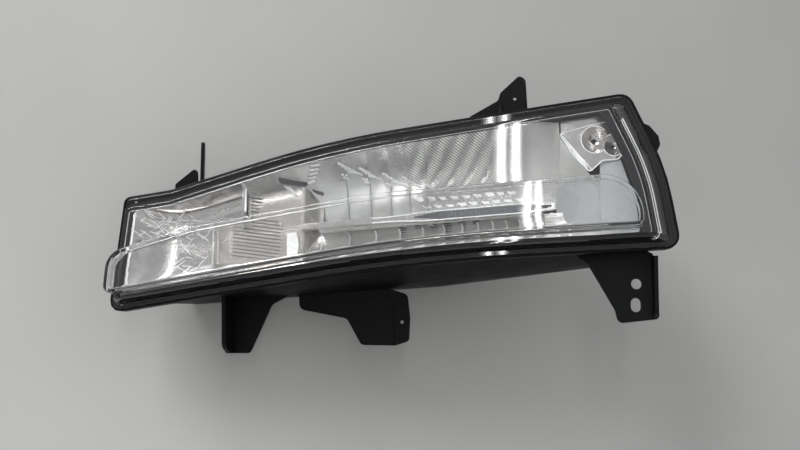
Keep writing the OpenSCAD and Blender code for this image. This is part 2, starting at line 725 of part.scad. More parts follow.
module lower_reflector() {
    function wall_point(x, v) =
        let (p = lower_point(x, v)) [x, min(p[1], bow(x) + edge_y + lower_wall_y), p[2]];
    rows = [for (k = [len(reflector_rows) - 1:-1:0]) reflector_rows[k]];
    color([0.85, 0.86, 0.88])
        in_row_frame()
            sheet(
                [for (v = rows) concat(
                    [wall_point(lower_left, v), wall_point(lower_left + 1.6, v)],
                    [for (x = concat([lower_left + 2.4], lower_stations)) lower_point(x, v)])],
                [0, reflector_t, -reflector_t * 0.4]);
}

// Left end reflector: a tray that is open towards the right
left_rows = [0, 0.04, 0.1, 0.2, 0.3, 0.34, 0.37, 0.5, 0.65, 0.8, 0.9, 0.96, 1];
left_corners = inset_corners(flange_corners, opening_in);
function left_edge(z) =
    let (low = left_corners[0], high = left_corners[1])
    mix(low[0], high[0], (z - low[1]) / (high[1] - low[1]));
function left_point(u, v) =
    let (gap = 0.6)
    let (start = left_edge(mix(left_corners[1][1], left_corners[0][1], v)) + 1)
    let (reach = smooth((0.355 - v) * 33 + 0.5))
    let (right = mix(lower_left - gap, upper_left - gap, reach))
    let (x = mix(start, right, u))
    let (z = mix(opening_top(x) - 0.2, opening_bottom(x) + 0.2, v))
    let (trough = 1 - pow(abs(2 * v - 1), 6))
    [x, bow(x) + edge_y + left_d * bowl(min(u * 1.25, 1)) * trough, z];

left_columns = [0, 0.04, 0.1, 0.2, 0.32, 0.46, 0.64, 0.82, 1];
module left_reflector() {
    color([0.88, 0.89, 0.9])
        in_row_frame()
            sheet([for (v = left_rows) [for (u = left_columns) left_point(u, v)]], [0, reflector_t, 0]);
}

// Fluted panel between the left end reflector and the cells
flute_tilt = 5;
flute_x = upper_left + 10;
flute_y = bow(flute_x) + 20;
flute_outline = [
    [lower_left + 4.5, -18], [lower_left + 4.5, -3], [upper_left + 3.2, -3], [upper_left + 3.2, 20],
    [upper_left + 24, 12], [upper_left + 36, 5], [upper_left + 36, -16]
];
// Legs that stand on the reflectors behind the panel
flute_legs = [
    let (p = lower_point(upper_left + 6, 0.86)) [p[0], p[2], p[1]],
    let (p = lower_point(upper_left + 28, 0.86)) [p[0], p[2], p[1]],
    let (p = upper_point(upper_left + 14, 0.86)) [p[0], p[2], p[1]]
];
leg_r = 1.3;
module fluted_panel() {
    base = 1.4;
    length = 70;
    half = 24;
    count = floor(2 * half / flute_pitch);
    profile = concat(
        [[base + flute_d, -half]],
        [for (k = [0:count - 1], s = [0, 1])
            [s == 0 ? flute_d : 0, -half + (k + 0.25 + s * 0.5) * flute_pitch]],
        [[base + flute_d, -half + (count - 0.1) * flute_pitch]]);
    color([0.84, 0.84, 0.85])
        in_row_frame() {
            intersection() {
                translate([flute_x, flute_y, 1])
                    rotate([0, flute_tilt, 0])
                        translate([-length / 2, 0, 0])
                            rotate([90, 0, 90])
                                linear_extrude(height = length)
                                    polygon(profile);
                upright_plate(flute_outline, flute_y - 2, 8);
            }
            for (leg = flute_legs)
                rod_y(leg[0], leg[1], leg_r, flute_y - 0.5, leg[2] - flute_y + 0.5 - seat_gap - leg_r * 0.28);
    }
}

// Chrome strip over the shelf's front edge, a channel that the shelf's edge stands in
strip_y = 9;
shelf_y = strip_y + 3;
strip_l = lower_right - shelf_x - 2;
module divider_strip() {
    lip = 8;
    color([0.75, 0.76, 0.78])
        in_row_frame()
            on_shelf()
                difference() {
                    translate([-2, strip_y, -strip_h / 2])
                        cube([strip_l + 2, lip, strip_h]);
                    translate([-3, strip_y + 1.6, -shelf_t / 2 - fit_gap])
                        cube([strip_l + 4, lip, shelf_t + fit_gap * 2]);
                }
}

fin_h = 11;
upper_board_y = 20;
upper_board_w = 16;
lower_board_y = strip_y + 8.5;
lower_board_w = 11;
module heat_sink() {
    color([0.66, 0.67, 0.69])
        in_row_frame()
            on_shelf()
                difference() {
                    union() {
                        translate([0, shelf_y, -shelf_t / 2])
                            cube([shelf_l, fin_y - shelf_y + 1, shelf_t]);
                        translate([fin_x - 4, fin_y, -fin_h - shelf_t / 2])
                            cube([shelf_l - 2 * fin_x + 8, sink_flange, 2 * fin_h + shelf_t]);
                        for (k = [0:fin_count - 1])
                            translate([fin_x + k * fin_pitch, fin_y + 1, -fin_h])
                                cube([fin_t, 9, 2 * fin_h]);
                    }
                    for (p = sink_posts)
                        rod_y(p[0], p[1], screw_r + screw_gap, fin_y - 2, sink_flange + 4);
                }
}

module heat_sink_screws() {
    color("silver")
        in_row_frame()
            on_shelf()
                for (p = sink_posts) {
                    rod_y(p[0], p[1], screw_r, fin_y, screw_l);
                    rod_y(p[0], p[1], head_r, fin_y - head_h, head_h);
                }
}

module led_board(side) {
    inset = 1;
    y = side > 0 ? upper_board_y : lower_board_y;
    w = side > 0 ? upper_board_w : lower_board_w;
    color([0.9, 0.92, 0.9])
        in_row_frame()
            on_shelf()
                translate([inset, y, side > 0 ? shelf_t / 2 : -shelf_t / 2 - board_t])
                    cube([shelf_l - 2 * inset, w, board_t]);
}

module upper_led_board() {
    led_board(1);
}

module lower_led_board() {
    led_board(-1);
}

led_h = 1;
module led_row(count, side) {
    y = side > 0 ? upper_board_y : lower_board_y;
    z = shelf_t / 2 + board_t;
    color([0.95, 0.9, 0.6])
        in_row_frame()
            on_shelf()
                for (k = [0:count - 1])
                    translate([10 + k * (shelf_l - 24) / (count - 1), y + 2, side > 0 ? z : -z - led_h])
                        cube([led_w, led_w, led_h]);
}

module upper_leds() {
    led_row(upper_led_count, 1);
}

module lower_leds() {
    led_row(lower_led_count, -1);
}

module board_screws() {
    head_h = 1.4;
    z = shelf_t / 2 + board_t;
    color("silver")
        in_row_frame()
            on_shelf()
                for (k = [0.12, 0.5, 0.88]) {
                    translate([shelf_l * k, upper_board_y + upper_board_w - 4, z])
                        cylinder(r = 2.4, h = head_h);
                    translate([shelf_l * k, lower_board_y + lower_board_w - 3, -z - head_h])
                        cylinder(r = 2.4, h = head_h);
                }
}

// Corner reflector: a plate with two cups for forward light sources
cup_centres = [top_right + [-57.1, -31.5], top_right + [-42.7, -35.5]];
corner_plate = placed([
    [-78, -26.5, 1], [-58.5, -20.5, 8], [-46.5, -18.1, 5], [-38, -21.5, 5],
    [-33.9, -37.1, 5], [-38.9, -43.9, 5], [-49.5, -44.5, 5], [-58.5, -52.5, 2], [-70, -39, 8]
], top_right);
corner_t = 1.6;
// The plate's surround, which closes the corner up to the bezel
surround_left = corner_x + 0.9;
surround_right = right_x - 33;
surround = concat(
    [[surround_left, corner_z - 1]],
    [for (k = [0:4]) let (x = mix(surround_left, surround_right, k / 4)) [x, opening_top(x) - 1.7]],
    [for (p = [[-30, -30], [-33, -42], [-65, -42], [-70, -37]]) top_right + p]);
ridge_count = 4;
ridge_l = 24;
ridge_pitch = 2.1;
module corner_reflector() {
    color([0.88, 0.89, 0.91])
        in_row_frame()
            difference() {
                union() {
                    upright_plate(rounded_polygon(corner_plate), corner_y, corner_t);
                    upright_plate(surround, corner_y + corner_t, corner_t);
                    for (k = [0:ridge_count - 1])
                        translate([corner_x + 3, corner_y - 0.7, corner_z - 2.4])
                            rotate([0, atan(corner_fall), 0])
                                translate([0, 0, k * ridge_pitch])
                                    cube([ridge_l - 3 * k, 1.2, ridge_pitch / 2]);
                    for (c = cup_centres)
                        translate([c[0], corner_y, c[1]])
                            rotate([-90, 0, 0])
                                cylinder(r1 = cup_r + 1, r2 = cup_hole_r + 1.6, h = cup_d);
                }
                for (c = cup_centres)
                    translate([c[0], corner_y, c[1]])
                        rotate([-90, 0, 0]) {
                            translate([0, 0, -0.1])
                                cylinder(r1 = cup_r, r2 = cup_hole_r, h = cup_d - 1);
                            cylinder(r = cup_hole_r, h = cup_d + 1);
                        }
            }
}

module corner_panel() {
    panel = concat(
        placed([[-51.1, -43.1, 1], [-37.5, -43.1, 3], [-27.5, -75.1, 60]], top_right),
        placed([[-25.9, 9.2, 4], [-52.1, 8, 2]], low_right));
    color([0.93, 0.93, 0.94])
        in_row_frame()
            upright_plate(rounded_polygon(panel), corner_y + corner_t, corner_t);
}

module corner_led_board() {
    color([0.9, 0.92, 0.9])
        in_row_frame()
            difference() {
                translate([right_x - 71.5, corner_board_y, right_top - 44.5])
                    cube([35.5, board_t, 24.8]);
                for (p = corner_posts)
                    rod_y(p[0], p[1], screw_r + screw_gap, corner_board_y - 1, board_t + 2);
            }
}

module corner_leds() {
    color([0.95, 0.9, 0.6])
        in_row_frame()
            for (c = cup_centres)
                translate([c[0] - led_w / 2, corner_board_y - led_h, c[1] - led_w / 2])
                    cube([led_w, led_h, led_w]);
}

module corner_board_screws() {
    color("silver")
        in_row_frame()
            for (p = corner_posts) {
                rod_y(p[0], p[1], screw_r, corner_board_y, screw_l);
                rod_y(p[0], p[1], head_r, corner_board_y - head_h, head_h);
            }
}

board_face = rear_y - 9;
board_edge = 3;
module driver_board() {
    color([0.1, 0.35, 0.2])
        in_row_frame()
            translate([cover_x - cover_hole_w / 2 + board_edge, board_face, cover_z - cover_hole_h / 2 + 2])
                cube([cover_hole_w - 2 * board_edge, board_t, cover_hole_h - 4]);
}

// Coil, control chip and capacitors on the driver board
coil = [12, 4, 12];
chip = [10, 1.6, 10];
can_r = 4;
can_l = 8;
module driver_components() {
    color([0.2, 0.2, 0.22])
        in_row_frame() {
            translate([cover_x - 20, board_face - coil[1], cover_z - coil[2] / 2])
                cube(coil);
            translate([cover_x - 4, board_face - chip[1], cover_z - chip[2] / 2])
                cube(chip);
            for (s = [-1, 1])
                rod_y(cover_x + 16, cover_z + s * 6, can_r, board_face - can_l, can_l);
        }
}

module rear_cover() {
    rib_l = 24;
    rib_w = 1.6;
    rib_rise = 1.4;
    post_r = 2.5;
    post_x = 20;
    color([0.09, 0.09, 0.1])
        in_row_frame()
            difference() {
                union() {
                    upright_plate(rounded_polygon([
                        for (c = [[-1, -1], [-1, 1], [1, 1], [1, -1]])
                            [cover_x + c[0] * cover_w / 2, cover_z + c[1] * cover_h / 2, 5]
                    ]), rear_y + gasket_t, cover_t);
                    for (k = [-2:2])
                        translate([cover_x + k * 8 - rib_w / 2, rear_y + gasket_t, cover_z - rib_l / 2])
                            cube([rib_w, cover_t + rib_rise, rib_l]);
                    for (s = [-1, 1])
                        rod_y(cover_x + s * post_x, cover_z, post_r, board_face + board_t,
                            rear_y + gasket_t + 1 - board_face - board_t);
                }
                cover_screw_places()
                    rod_y(0, 0, screw_r + screw_gap, rear_y - 1, cut_l);
            }
}

module cover_gasket() {
    edge = 1;
    w = cover_w - 2 * edge;
    h = cover_h - 2 * edge;
    color([0.15, 0.15, 0.15])
        in_row_frame()
            difference() {
                translate([cover_x - w / 2, rear_y, cover_z - h / 2])
                    cube([w, gasket_t, h]);
                translate([cover_x - cover_hole_w / 2, rear_y - 1, cover_z - cover_hole_h / 2])
                    cube([cover_hole_w, gasket_t + 2, cover_hole_h]);
                cover_screw_places()
                    rod_y(0, 0, screw_r + screw_gap, rear_y - 1, cut_l);
            }
}

module cover_screws() {
    head_y = rear_y + gasket_t + cover_t;
    color("silver")
        in_row_frame()
            cover_screw_places() {
                rod_y(0, 0, screw_r - 0.1, back_in_y - 3, head_y - back_in_y + 3);
                rod_y(0, 0, head_r + 0.2, head_y, head_h + 0.4);
            }
}

plug_wall = 1.6;
plug_flange = [3, 2];
pin_w = 1.2;
pin_pitch = 5;
pin_back = back_in_y - 5;
pin_l = wall + 15;
function pin_x(k) = plug_x + (k - (pin_count - 1) / 2) * pin_pitch;

// A block centred on the socket's axis
module plug_block(w, h, y, l) {
    translate([plug_x - w / 2, y, plug_z - h / 2])
        cube([w, l, h]);
}

module connector() {
    snap = [8, 1.6];
    inset = 1.2;
    flange_w = plug_w + 2 * plug_flange[0];
    flange_h = plug_h + 2 * plug_flange[0];
    color([0.12, 0.12, 0.13])
        in_row_frame()
            difference() {
                union() {
                    plug_block(flange_w, flange_h, rear_y, plug_flange[1]);
                    plug_block(plug_w, plug_h, rear_y, plug_l);
                    plug_block(plug_w - 2 * inset, plug_h - 2 * inset, back_in_y - 2, wall + 3);
                    translate([plug_x - snap[0] / 2, rear_y + 1, plug_z + plug_h / 2])
                        cube([snap[0], plug_l - 4, snap[1]]);
                }
                plug_block(plug_w - 2 * plug_wall, plug_h - 2 * plug_wall, rear_y + 3, plug_l);
                for (k = [0:pin_count - 1])
                    translate([pin_x(k) - pin_w / 2 - 0.1, back_in_y - 4, plug_z - pin_w / 2 - 0.1])
                        cube([pin_w + 0.2, cut_l, pin_w + 0.2]);
            }
}

module connector_pins() {
    color([0.8, 0.7, 0.4])
        in_row_frame()
            for (k = [0:pin_count - 1])
                translate([pin_x(k) - pin_w / 2, pin_back, plug_z - pin_w / 2])
                    cube([pin_w, pin_l, pin_w]);
}

cap_l = 9.4;
module vent_caps() {
    color([0.1, 0.1, 0.1])
        in_row_frame()
            for (v = vents)
                difference() {
                    union() {
                        rod_y(v[0], v[1], vent_r + 2, rear_y + seat_gap, cap_l);
                        rod_y(v[0], v[1], vent_r + 3.5, rear_y + 5, 1.6);
                    }
                    rod_y(v[0], v[1], vent_r + 0.05, rear_y - 1, cap_l - 0.2);
                }
}

// Leads from the socket's pins to the driver board and to the heat sink's board
lead_routes = [
    concat([for (p = [[0, pin_back - 0.1], [0, pin_back - 2.8]]) [pin_x(0) + p[0], p[1], plug_z]],
        [for (p = [[-1.5, 56, -1.5], [-6.5, 53, -4], [-16.5, 52, -7], [-30.5, 53, -8], [-41.5, 56, -8],
            [-45, 59, -8], [-45, board_face - 0.1, -8]]) [pin_x(0) + p[0], p[1], plug_z + p[2]]]),
    concat([for (p = [[0, pin_back - 0.1], [0, pin_back - 2.8]]) [pin_x(1) + p[0], p[1], plug_z]],
        [for (p = [[-2.5, 56, 2], [-7.5, 54, 6], [-11, 48, 9.2], [-10.7, 40, 9.6],
            [-9.9, 33, 9.7], [-9.1, 30, 9.8]]) [pin_x(1) + p[0], p[1], plug_z + p[2]]])
];
module inner_leads() {
    color([0.5, 0.1, 0.1])
        in_row_frame()
            for (route = lead_routes)
                tube(route, 1);
}

lens();
glue_bead();
rear_housing();
bezel_frame();
left_reflector();
fluted_panel();
upper_reflector();
lower_reflector();
divider_strip();
corner_reflector();
corner_panel();
heat_sink();
heat_sink_screws();
upper_led_board();
lower_led_board();
upper_leds();
lower_leds();
board_screws();
corner_led_board();
corner_leds();
corner_board_screws();
driver_board();
driver_components();
rear_cover();
cover_gasket();
cover_screws();
connector();
connector_pins();
vent_caps();
inner_leads();
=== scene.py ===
import math

import bmesh
import bpy
import numpy as np
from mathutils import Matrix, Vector


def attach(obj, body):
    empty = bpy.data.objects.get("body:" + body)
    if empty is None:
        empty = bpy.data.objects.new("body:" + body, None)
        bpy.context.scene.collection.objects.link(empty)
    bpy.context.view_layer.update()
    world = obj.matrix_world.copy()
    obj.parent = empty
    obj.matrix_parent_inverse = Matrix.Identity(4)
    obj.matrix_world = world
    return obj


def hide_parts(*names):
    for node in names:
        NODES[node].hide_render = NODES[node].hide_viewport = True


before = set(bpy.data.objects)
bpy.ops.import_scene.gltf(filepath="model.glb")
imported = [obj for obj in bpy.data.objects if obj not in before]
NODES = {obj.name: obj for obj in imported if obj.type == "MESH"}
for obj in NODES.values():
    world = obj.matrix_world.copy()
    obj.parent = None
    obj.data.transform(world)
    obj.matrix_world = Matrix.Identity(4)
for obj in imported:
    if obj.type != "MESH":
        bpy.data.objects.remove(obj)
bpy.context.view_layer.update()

# The lamp's own frame is in millimetres with X to the right, Z up and the lens facing -Y.
# The row frame is in metres and has its origin at the lower outer hole.
ROW_SHIFT = np.array([156.0, 32.0, -38.0])
MM = 0.001


def row(points):
    return (np.asarray(points, float) - ROW_SHIFT) * MM


def added(name, data):
    """A new object in the scene."""
    piece = bpy.data.objects.new(name, data)
    bpy.context.scene.collection.objects.link(piece)
    return piece


def aim(piece, target):
    """Turns the camera or a light to a place."""
    piece.rotation_euler = (Vector(target) - piece.location).to_track_quat("-Z", "Y").to_euler()


# Outline of the flange, clockwise from the bottom left
LEFT_X, RIGHT_X = -198.0, 184.5
LEFT_TOP, RIGHT_TOP, LEFT_DROP, RIGHT_DROP = 21.5, 89.5, 57.5, 15.4
BOW_RISE = 18.0
FLANGE = np.array([
    [LEFT_X, -LEFT_DROP], [LEFT_X + 8.5, LEFT_TOP], [LEFT_X + 41, LEFT_TOP + 4.7],
    [LEFT_X + 148, RIGHT_TOP - 30.9], [RIGHT_X - 32, RIGHT_TOP], [RIGHT_X - 8.5, RIGHT_TOP - 51.5],
    [RIGHT_X, -RIGHT_DROP], [10, -RIGHT_DROP - 8.9]])
FLANGE_RADII = [7, 5, 30, 700, 9, 160, 9, 1400]
FLANGE_LEAST_RADIUS = 2.5
# Side of the edge that starts at each corner: 0 left, 1 top, 2 right, 3 bottom
EDGE_SIDE = [0, 1, 1, 1, 2, 2, 3, 3]
# Points on each corner's arc, and on the edge after it
ARC_POINTS = [12, 12, 15, 21, 15, 12, 15, 21]
EDGE_POINTS = [2, 5, 8, 17, 5, 5, 20, 23]

# Outline of the lens's raised band, in the same order
BAND = np.array([
    [LEFT_X + 4.8, -LEFT_DROP + 11.5], [LEFT_X + 6.8, -LEFT_DROP + 39], [LEFT_X + 62, LEFT_TOP - 23.5],
    [LEFT_X + 182, LEFT_TOP - 2.5], [RIGHT_X - 27, LEFT_TOP + 10.5],
    [RIGHT_X - 27.5, -RIGHT_DROP + 12.6], [10, -RIGHT_DROP + 3.8]])
BAND_RADII = [5, 15, 120, 500, 26, 5, 1200]
BAND_LEAST_RADIUS = 1.5
BAND_ARCS = [18, 18, 18, 18, 24, 12, 18]
BAND_EDGES = [2, 8, 11, 20, 2, 26, 29]


def along(x):
    """0 at the lamp's left end and 1 at its right end."""
    return (np.asarray(x, float) - LEFT_X) / (RIGHT_X - LEFT_X)


def bow(x):
    """How far the lamp sweeps back at x."""
    return BOW_RISE * np.maximum(along(x), 0) ** 2


def unit(v):
    return v / np.linalg.norm(v)


def cross2(a, b):
    return a[0] * b[1] - a[1] * b[0]


def inset_corner(c, i, before, after):
    """Corner i once the edges before and after it have moved inwards."""
    p, q, r = c[i - 1], c[i], c[(i + 1) % len(c)]
    u, v = unit(q - p), unit(r - q)
    a = q + np.array([u[1], -u[0]]) * before
    b = q + np.array([v[1], -v[0]]) * after
    return a + u * cross2(b - a, v) / cross2(u, v)


def rounded(corners, radii, arcs, edges):
    """A closed outline of points in X and Z from corners with radii."""
    n = len(corners)
    arc_points = []
    for i in range(n):
        p, q, r = corners[i - 1], corners[i], corners[(i + 1) % n]
        u, v = unit(q - p), unit(r - q)
        turn = math.atan2(cross2(u, v), float(u @ v))
        start = q - u * radii[i] * math.tan(abs(turn) / 2)
        centre = start - math.copysign(radii[i], turn) * np.array([u[1], -u[0]])
        w = start - centre
        angles = turn * np.linspace(0, 1, arcs[i])
        arc_points.append(np.stack([
            centre[0] + w[0] * np.cos(angles) - w[1] * np.sin(angles),
            centre[1] + w[0] * np.sin(angles) + w[1] * np.cos(angles)], 1))
    out = []
    for j in range(1, n + 1):
        i = j % n
        last, first = arc_points[i][-1], arc_points[(i + 1) % n][0]
        t = (np.arange(edges[i]) + 1)[:, None] / (edges[i] + 1)
        out += [arc_points[i], last + (first - last) * t]
    return np.concatenate(out)


def offset_outline(corners, radii, sides, inset, arcs, edges, least):
    """A rounded outline moved inwards by each side's inset, with a least outer radius."""
    n = len(corners)
    c = np.array([inset_corner(corners, i, inset[sides[i - 1]], inset[sides[i]]) for i in range(n)])
    grown = []
    for i in range(n):
        d = max(inset[sides[i - 1]], inset[sides[i]])
        u, v = corners[i] - corners[i - 1], corners[(i + 1) % n] - corners[i]
        grown.append(max(radii[i] - d, least) if cross2(u, v) < 0 else radii[i] + d)
    return rounded(c, grown, arcs, edges)


def flange_outline(inset):
    return offset_outline(
        FLANGE, FLANGE_RADII, EDGE_SIDE, inset, ARC_POINTS, EDGE_POINTS, FLANGE_LEAST_RADIUS)


def band_outline(inset):
    sides = [0] * len(BAND)
    return offset_outline(BAND, BAND_RADII, sides, [inset], BAND_ARCS, BAND_EDGES, BAND_LEAST_RADIUS)


def swept(outline, off, off_right):
    """An outline on the bow, moved back by one depth at the left end and another at the right."""
    x = outline[:, 0]
    return np.stack([x, bow(x) + off + (off_right - off) * along(x), outline[:, 1]], 1)


# Insets from the flange outline as left, top, right, bottom
RIM = np.array([1.3, 1.5, 1.5, 1.5])
GROOVE = RIM + np.array([2.6, 5.1, 5.1, 3.9])
LEDGE = GROOVE + np.array([1.5, 2.0, 2.0, 1.8])
TONGUE_T = np.array([1.7, 2.2, 2.2, 2.2])
TONGUE_OUT = RIM + (GROOVE - RIM - TONGUE_T) / 2
TONGUE_IN = TONGUE_OUT + TONGUE_T
# Lens: its thicknesses, and how far its face and its band stand before the flange
LENS_T, FLANGE_T = 2.4, 2.4
FACE_H, FACE_H_RIGHT, BAND_H = 9.0, 13.0, 23.0
FACES = np.array([FACE_H, FACE_H_RIGHT])
WALL_IN = LEDGE + np.array([-0.1, 0.2, 0.2, -0.2])
WALL_OUT = WALL_IN - LENS_T
SLOPE = np.array([2.4, 2.6, 10.2, 2.8])
ROUND_IN = np.array([1.4, 1.2, 1.4, 1.2])
ROUND_DROP = 0.9
# Depth of the tongue's end, and of the reflectors' front edges
TONGUE_Y = 7.0
EDGE_Y = 4.1


# Meshes
def shade(mesh, angle):
    """Smooth shading with sharp edges over an angle in degrees."""
    mesh.polygons.foreach_set("use_smooth", [True] * len(mesh.polygons))
    mesh.set_sharp_from_angle(angle=math.radians(angle))


def new_object(name, points, faces, sharp_angle=30):
    """A mesh object from points in the lamp's frame."""
    mesh = bpy.data.meshes.new(name)
    mesh.from_pydata([tuple(p) for p in row(points)], [], [tuple(int(i) for i in f) for f in faces])
    mesh.validate()
    bm = bmesh.new()
    bm.from_mesh(mesh)
    bmesh.ops.recalc_face_normals(bm, faces=bm.faces)
    bm.to_mesh(mesh)
    bm.free()
    shade(mesh, sharp_angle)
    return added(name, mesh)


def ring_faces(rings, n, first=0):
    """Quads between rings of n points each, numbered from first."""
    faces = []
    for j in range(rings - 1):
        near, far = first + j * n, first + (j + 1) * n
        for i in range(n):
            k = (i + 1) % n
            faces.append((near + i, far + i, far + k, near + k))
    return faces


def capped_faces(rings, n, first=0):
    """The same with one flat face over each end."""
    end = first + rings * n
    caps = [tuple(range(first, first + n)), tuple(range(end - 1, end - n - 1, -1))]
    return caps + ring_faces(rings, n, first)


# Places of the rows across a cap
CAP_ROWS = [0, 0.012, 0.06, 0.2, 0.35, 0.5, 0.65, 0.8, 0.94, 0.988, 1]


def ring_mesh(rings):
    """Points and faces of a closed form through rings, with both end caps filled by rows across."""
    n, m = len(rings[0]), len(rings)
    points = [np.concatenate(rings)]
    faces = ring_faces(m, n)
    count = n * m
    half = n // 2
    cap_rows = len(CAP_ROWS) - 1
    for ring, start in ((rings[0], 0), (rings[-1], (m - 1) * n)):
        index = np.zeros((cap_rows + 1, half), int)
        index[0] = start + np.arange(half)
        index[-1] = start + n - 1 - np.arange(half)
        base = ring[:, 1] - bow(ring[:, 0])
        for r in range(1, cap_rows):
            t = CAP_ROWS[r]
            p = ring[:half] * (1 - t) + ring[::-1][:half] * t
            p[:, 1] = bow(p[:, 0]) + base[:half] * (1 - t) + base[::-1][:half] * t
            points.append(p[1:-1])
            index[r, 1:-1] = count + np.arange(half - 2)
            count += half - 2
        for r in range(cap_rows):
            for i in range(1, half - 2):
                faces.append((index[r, i], index[r, i + 1], index[r + 1, i + 1], index[r + 1, i]))
        for end, beside in ((0, 1), (-1, -2)):
            faces.append((index[0, end], *index[:, beside], index[-1, end]))
    return np.concatenate(points), faces


def sheet(name, front, shift):
    """A closed thin sheet from a grid of points and one shift for its back."""
    rows, cols = front.shape[:2]
    total = rows * cols
    points = np.concatenate([front.reshape(-1, 3), front.reshape(-1, 3) + np.asarray(shift)])
    index = np.arange(total).reshape(rows, cols)
    quads = np.stack([index[:-1, :-1], index[:-1, 1:], index[1:, 1:], index[1:, :-1]], -1).reshape(-1, 4)
    faces = [quads, quads[:, ::-1] + total]
    for line in (index[0], index[:, -1], index[-1][::-1], index[:, 0][::-1]):
        faces.append(np.stack([line[:-1], line[:-1] + total, line[1:] + total, line[1:]], -1))
    return new_object(name, points, np.concatenate(faces), sharp_angle=24)


def boolean(piece, cutter, operation):
    modifier = piece.modifiers.new("shape", "BOOLEAN")
    modifier.operation = operation
    modifier.solver = "EXACT"
    modifier.object = cutter
    graph = bpy.context.evaluated_depsgraph_get()
    mesh = bpy.data.meshes.new_from_object(piece.evaluated_get(graph))
    piece.modifiers.clear()
    piece.data = mesh
    bpy.data.objects.remove(cutter)


def dress(piece, slot_name, material, *nodes):
    """Gives a piece its material, attaches it to the root and hides the CAD nodes that it replaces; the slot
    name is not used.
    """
    piece.data.materials.clear()
    piece.data.materials.append(material)
    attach(piece, "root")
    if nodes:
        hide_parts(*nodes)


# Materials
def tone(colour, factor):
    return tuple(min(1.0, c * factor) for c in colour)


class Shader:
    """A small helper for building the nodes of a material or the world."""

    def __init__(self, name, blocks=bpy.data.materials):
        self.block = blocks.new(name)
        self.block.use_nodes = True
        self.nodes = self.block.node_tree.nodes
        self.links = self.block.node_tree.links
        self.bsdf = self.nodes.get("Principled BSDF")
        self.coords = self.nodes.new("ShaderNodeTexCoord")

    def set(self, **values):
        for name, value in values.items():
            self.bsdf.inputs[name.replace("_", " ")].default_value = value
        return self

    def feed(self, name, source):
        self.links.new(source, self.bsdf.inputs[name])
        return self

    def axes(self, kind="Object"):
        """X and Z of one kind of coordinates."""
        node = self.nodes.new("ShaderNodeSeparateXYZ")
        self.links.new(self.coords.outputs[kind], node.inputs["Vector"])
        return node.outputs["X"], node.outputs["Z"]

    def math(self, operation, a, b=0.0):
        node = self.nodes.new("ShaderNodeMath")
        node.operation = operation
        for socket, value in zip(node.inputs, (a, b)):
            if isinstance(value, (int, float)):
                socket.default_value = value
            else:
                self.links.new(value, socket)
        return node.outputs["Value"]

    def noise(self, scale, detail=4, roughness=0.6, stretch=None):
        node = self.nodes.new("ShaderNodeTexNoise")
        for name, value in (("Scale", scale), ("Detail", detail), ("Roughness", roughness)):
            node.inputs[name].default_value = value
        source = self.coords.outputs["Object"]
        if stretch:
            mapping = self.nodes.new("ShaderNodeMapping")
            mapping.inputs["Scale"].default_value = stretch
            self.links.new(source, mapping.inputs["Vector"])
            source = mapping.outputs["Vector"]
        self.links.new(source, node.inputs["Vector"])
        return node.outputs["Fac"]

    def waves(self, x, z, x_part, z_part, pitch):
        """A sine along one direction of X and Z."""
        across = self.math("ADD", self.math("MULTIPLY", x, x_part), self.math("MULTIPLY", z, z_part))
        return self.math("SINE", self.math("MULTIPLY", across, 2 * math.pi / pitch))

    def level(self, source, low, high, start=0.3, end=0.7):
        """Goes from low to high while the source goes from start to end."""
        node = self.nodes.new("ShaderNodeMapRange")
        for name, value in (("From Min", start), ("From Max", end), ("To Min", low), ("To Max", high)):
            node.inputs[name].default_value = value
        self.links.new(source, node.inputs["Value"])
        return node.outputs["Result"]

    def ramp(self, source, stops):
        node = self.nodes.new("ShaderNodeValToRGB")
        while len(node.color_ramp.elements) < len(stops):
            node.color_ramp.elements.new(0.5)
        for element, (place, colour) in zip(node.color_ramp.elements, stops):
            element.position = place
            element.color = (*colour, 1)
        self.links.new(source, node.inputs["Fac"])
        return node.outputs["Color"]

    def cloud(self, colour, spread, scale, detail):
        """Base colour that wanders to both sides of one colour."""
        stops = [(0.3, tone(colour, 1 - spread)), (0.7, tone(colour, 1 + spread))]
        return self.feed("Base Color", self.ramp(self.noise(scale, detail), stops))

    def bump(self, source, strength, distance):
        node = self.nodes.new("ShaderNodeBump")
        node.inputs["Strength"].default_value = strength
        node.inputs["Distance"].default_value = distance
        if self.bsdf.inputs["Normal"].is_linked:
            self.links.new(self.bsdf.inputs["Normal"].links[0].from_socket, node.inputs["Normal"])
        self.links.new(source, node.inputs["Height"])
        self.links.new(node.outputs["Normal"], self.bsdf.inputs["Normal"])
        return self

    def let_through(self, factor, colour):
        """Rays pass with a tint where the factor is 1."""
        clear = self.nodes.new("ShaderNodeBsdfTransparent")
        clear.inputs["Color"].default_value = colour
        mix = self.nodes.new("ShaderNodeMixShader")
        self.links.new(factor, mix.inputs["Fac"])
        self.links.new(self.bsdf.outputs["BSDF"], mix.inputs[1])
        self.links.new(clear.outputs["BSDF"], mix.inputs[2])
        self.links.new(mix.outputs["Shader"], self.nodes["Material Output"].inputs["Surface"])
        return self


MOULD_GRAIN, METAL_GRAIN = 0.0002, 0.00015
METALLISED = 0.86


def moulded(name, colour, rough, grain=1600, spread=0.15, bump=0.25, blotch=18, shine=0.5):
    """Moulded plastic: fine grain, cloudy colour and uneven shine."""
    s = Shader(name).set(Specular_IOR_Level=shine)
    s.cloud(colour, spread, blotch, 5)
    s.feed("Roughness", s.level(s.noise(blotch * 3, 6), rough - 0.08, rough + 0.1))
    s.bump(s.noise(grain, 2), bump, MOULD_GRAIN)
    return s.block


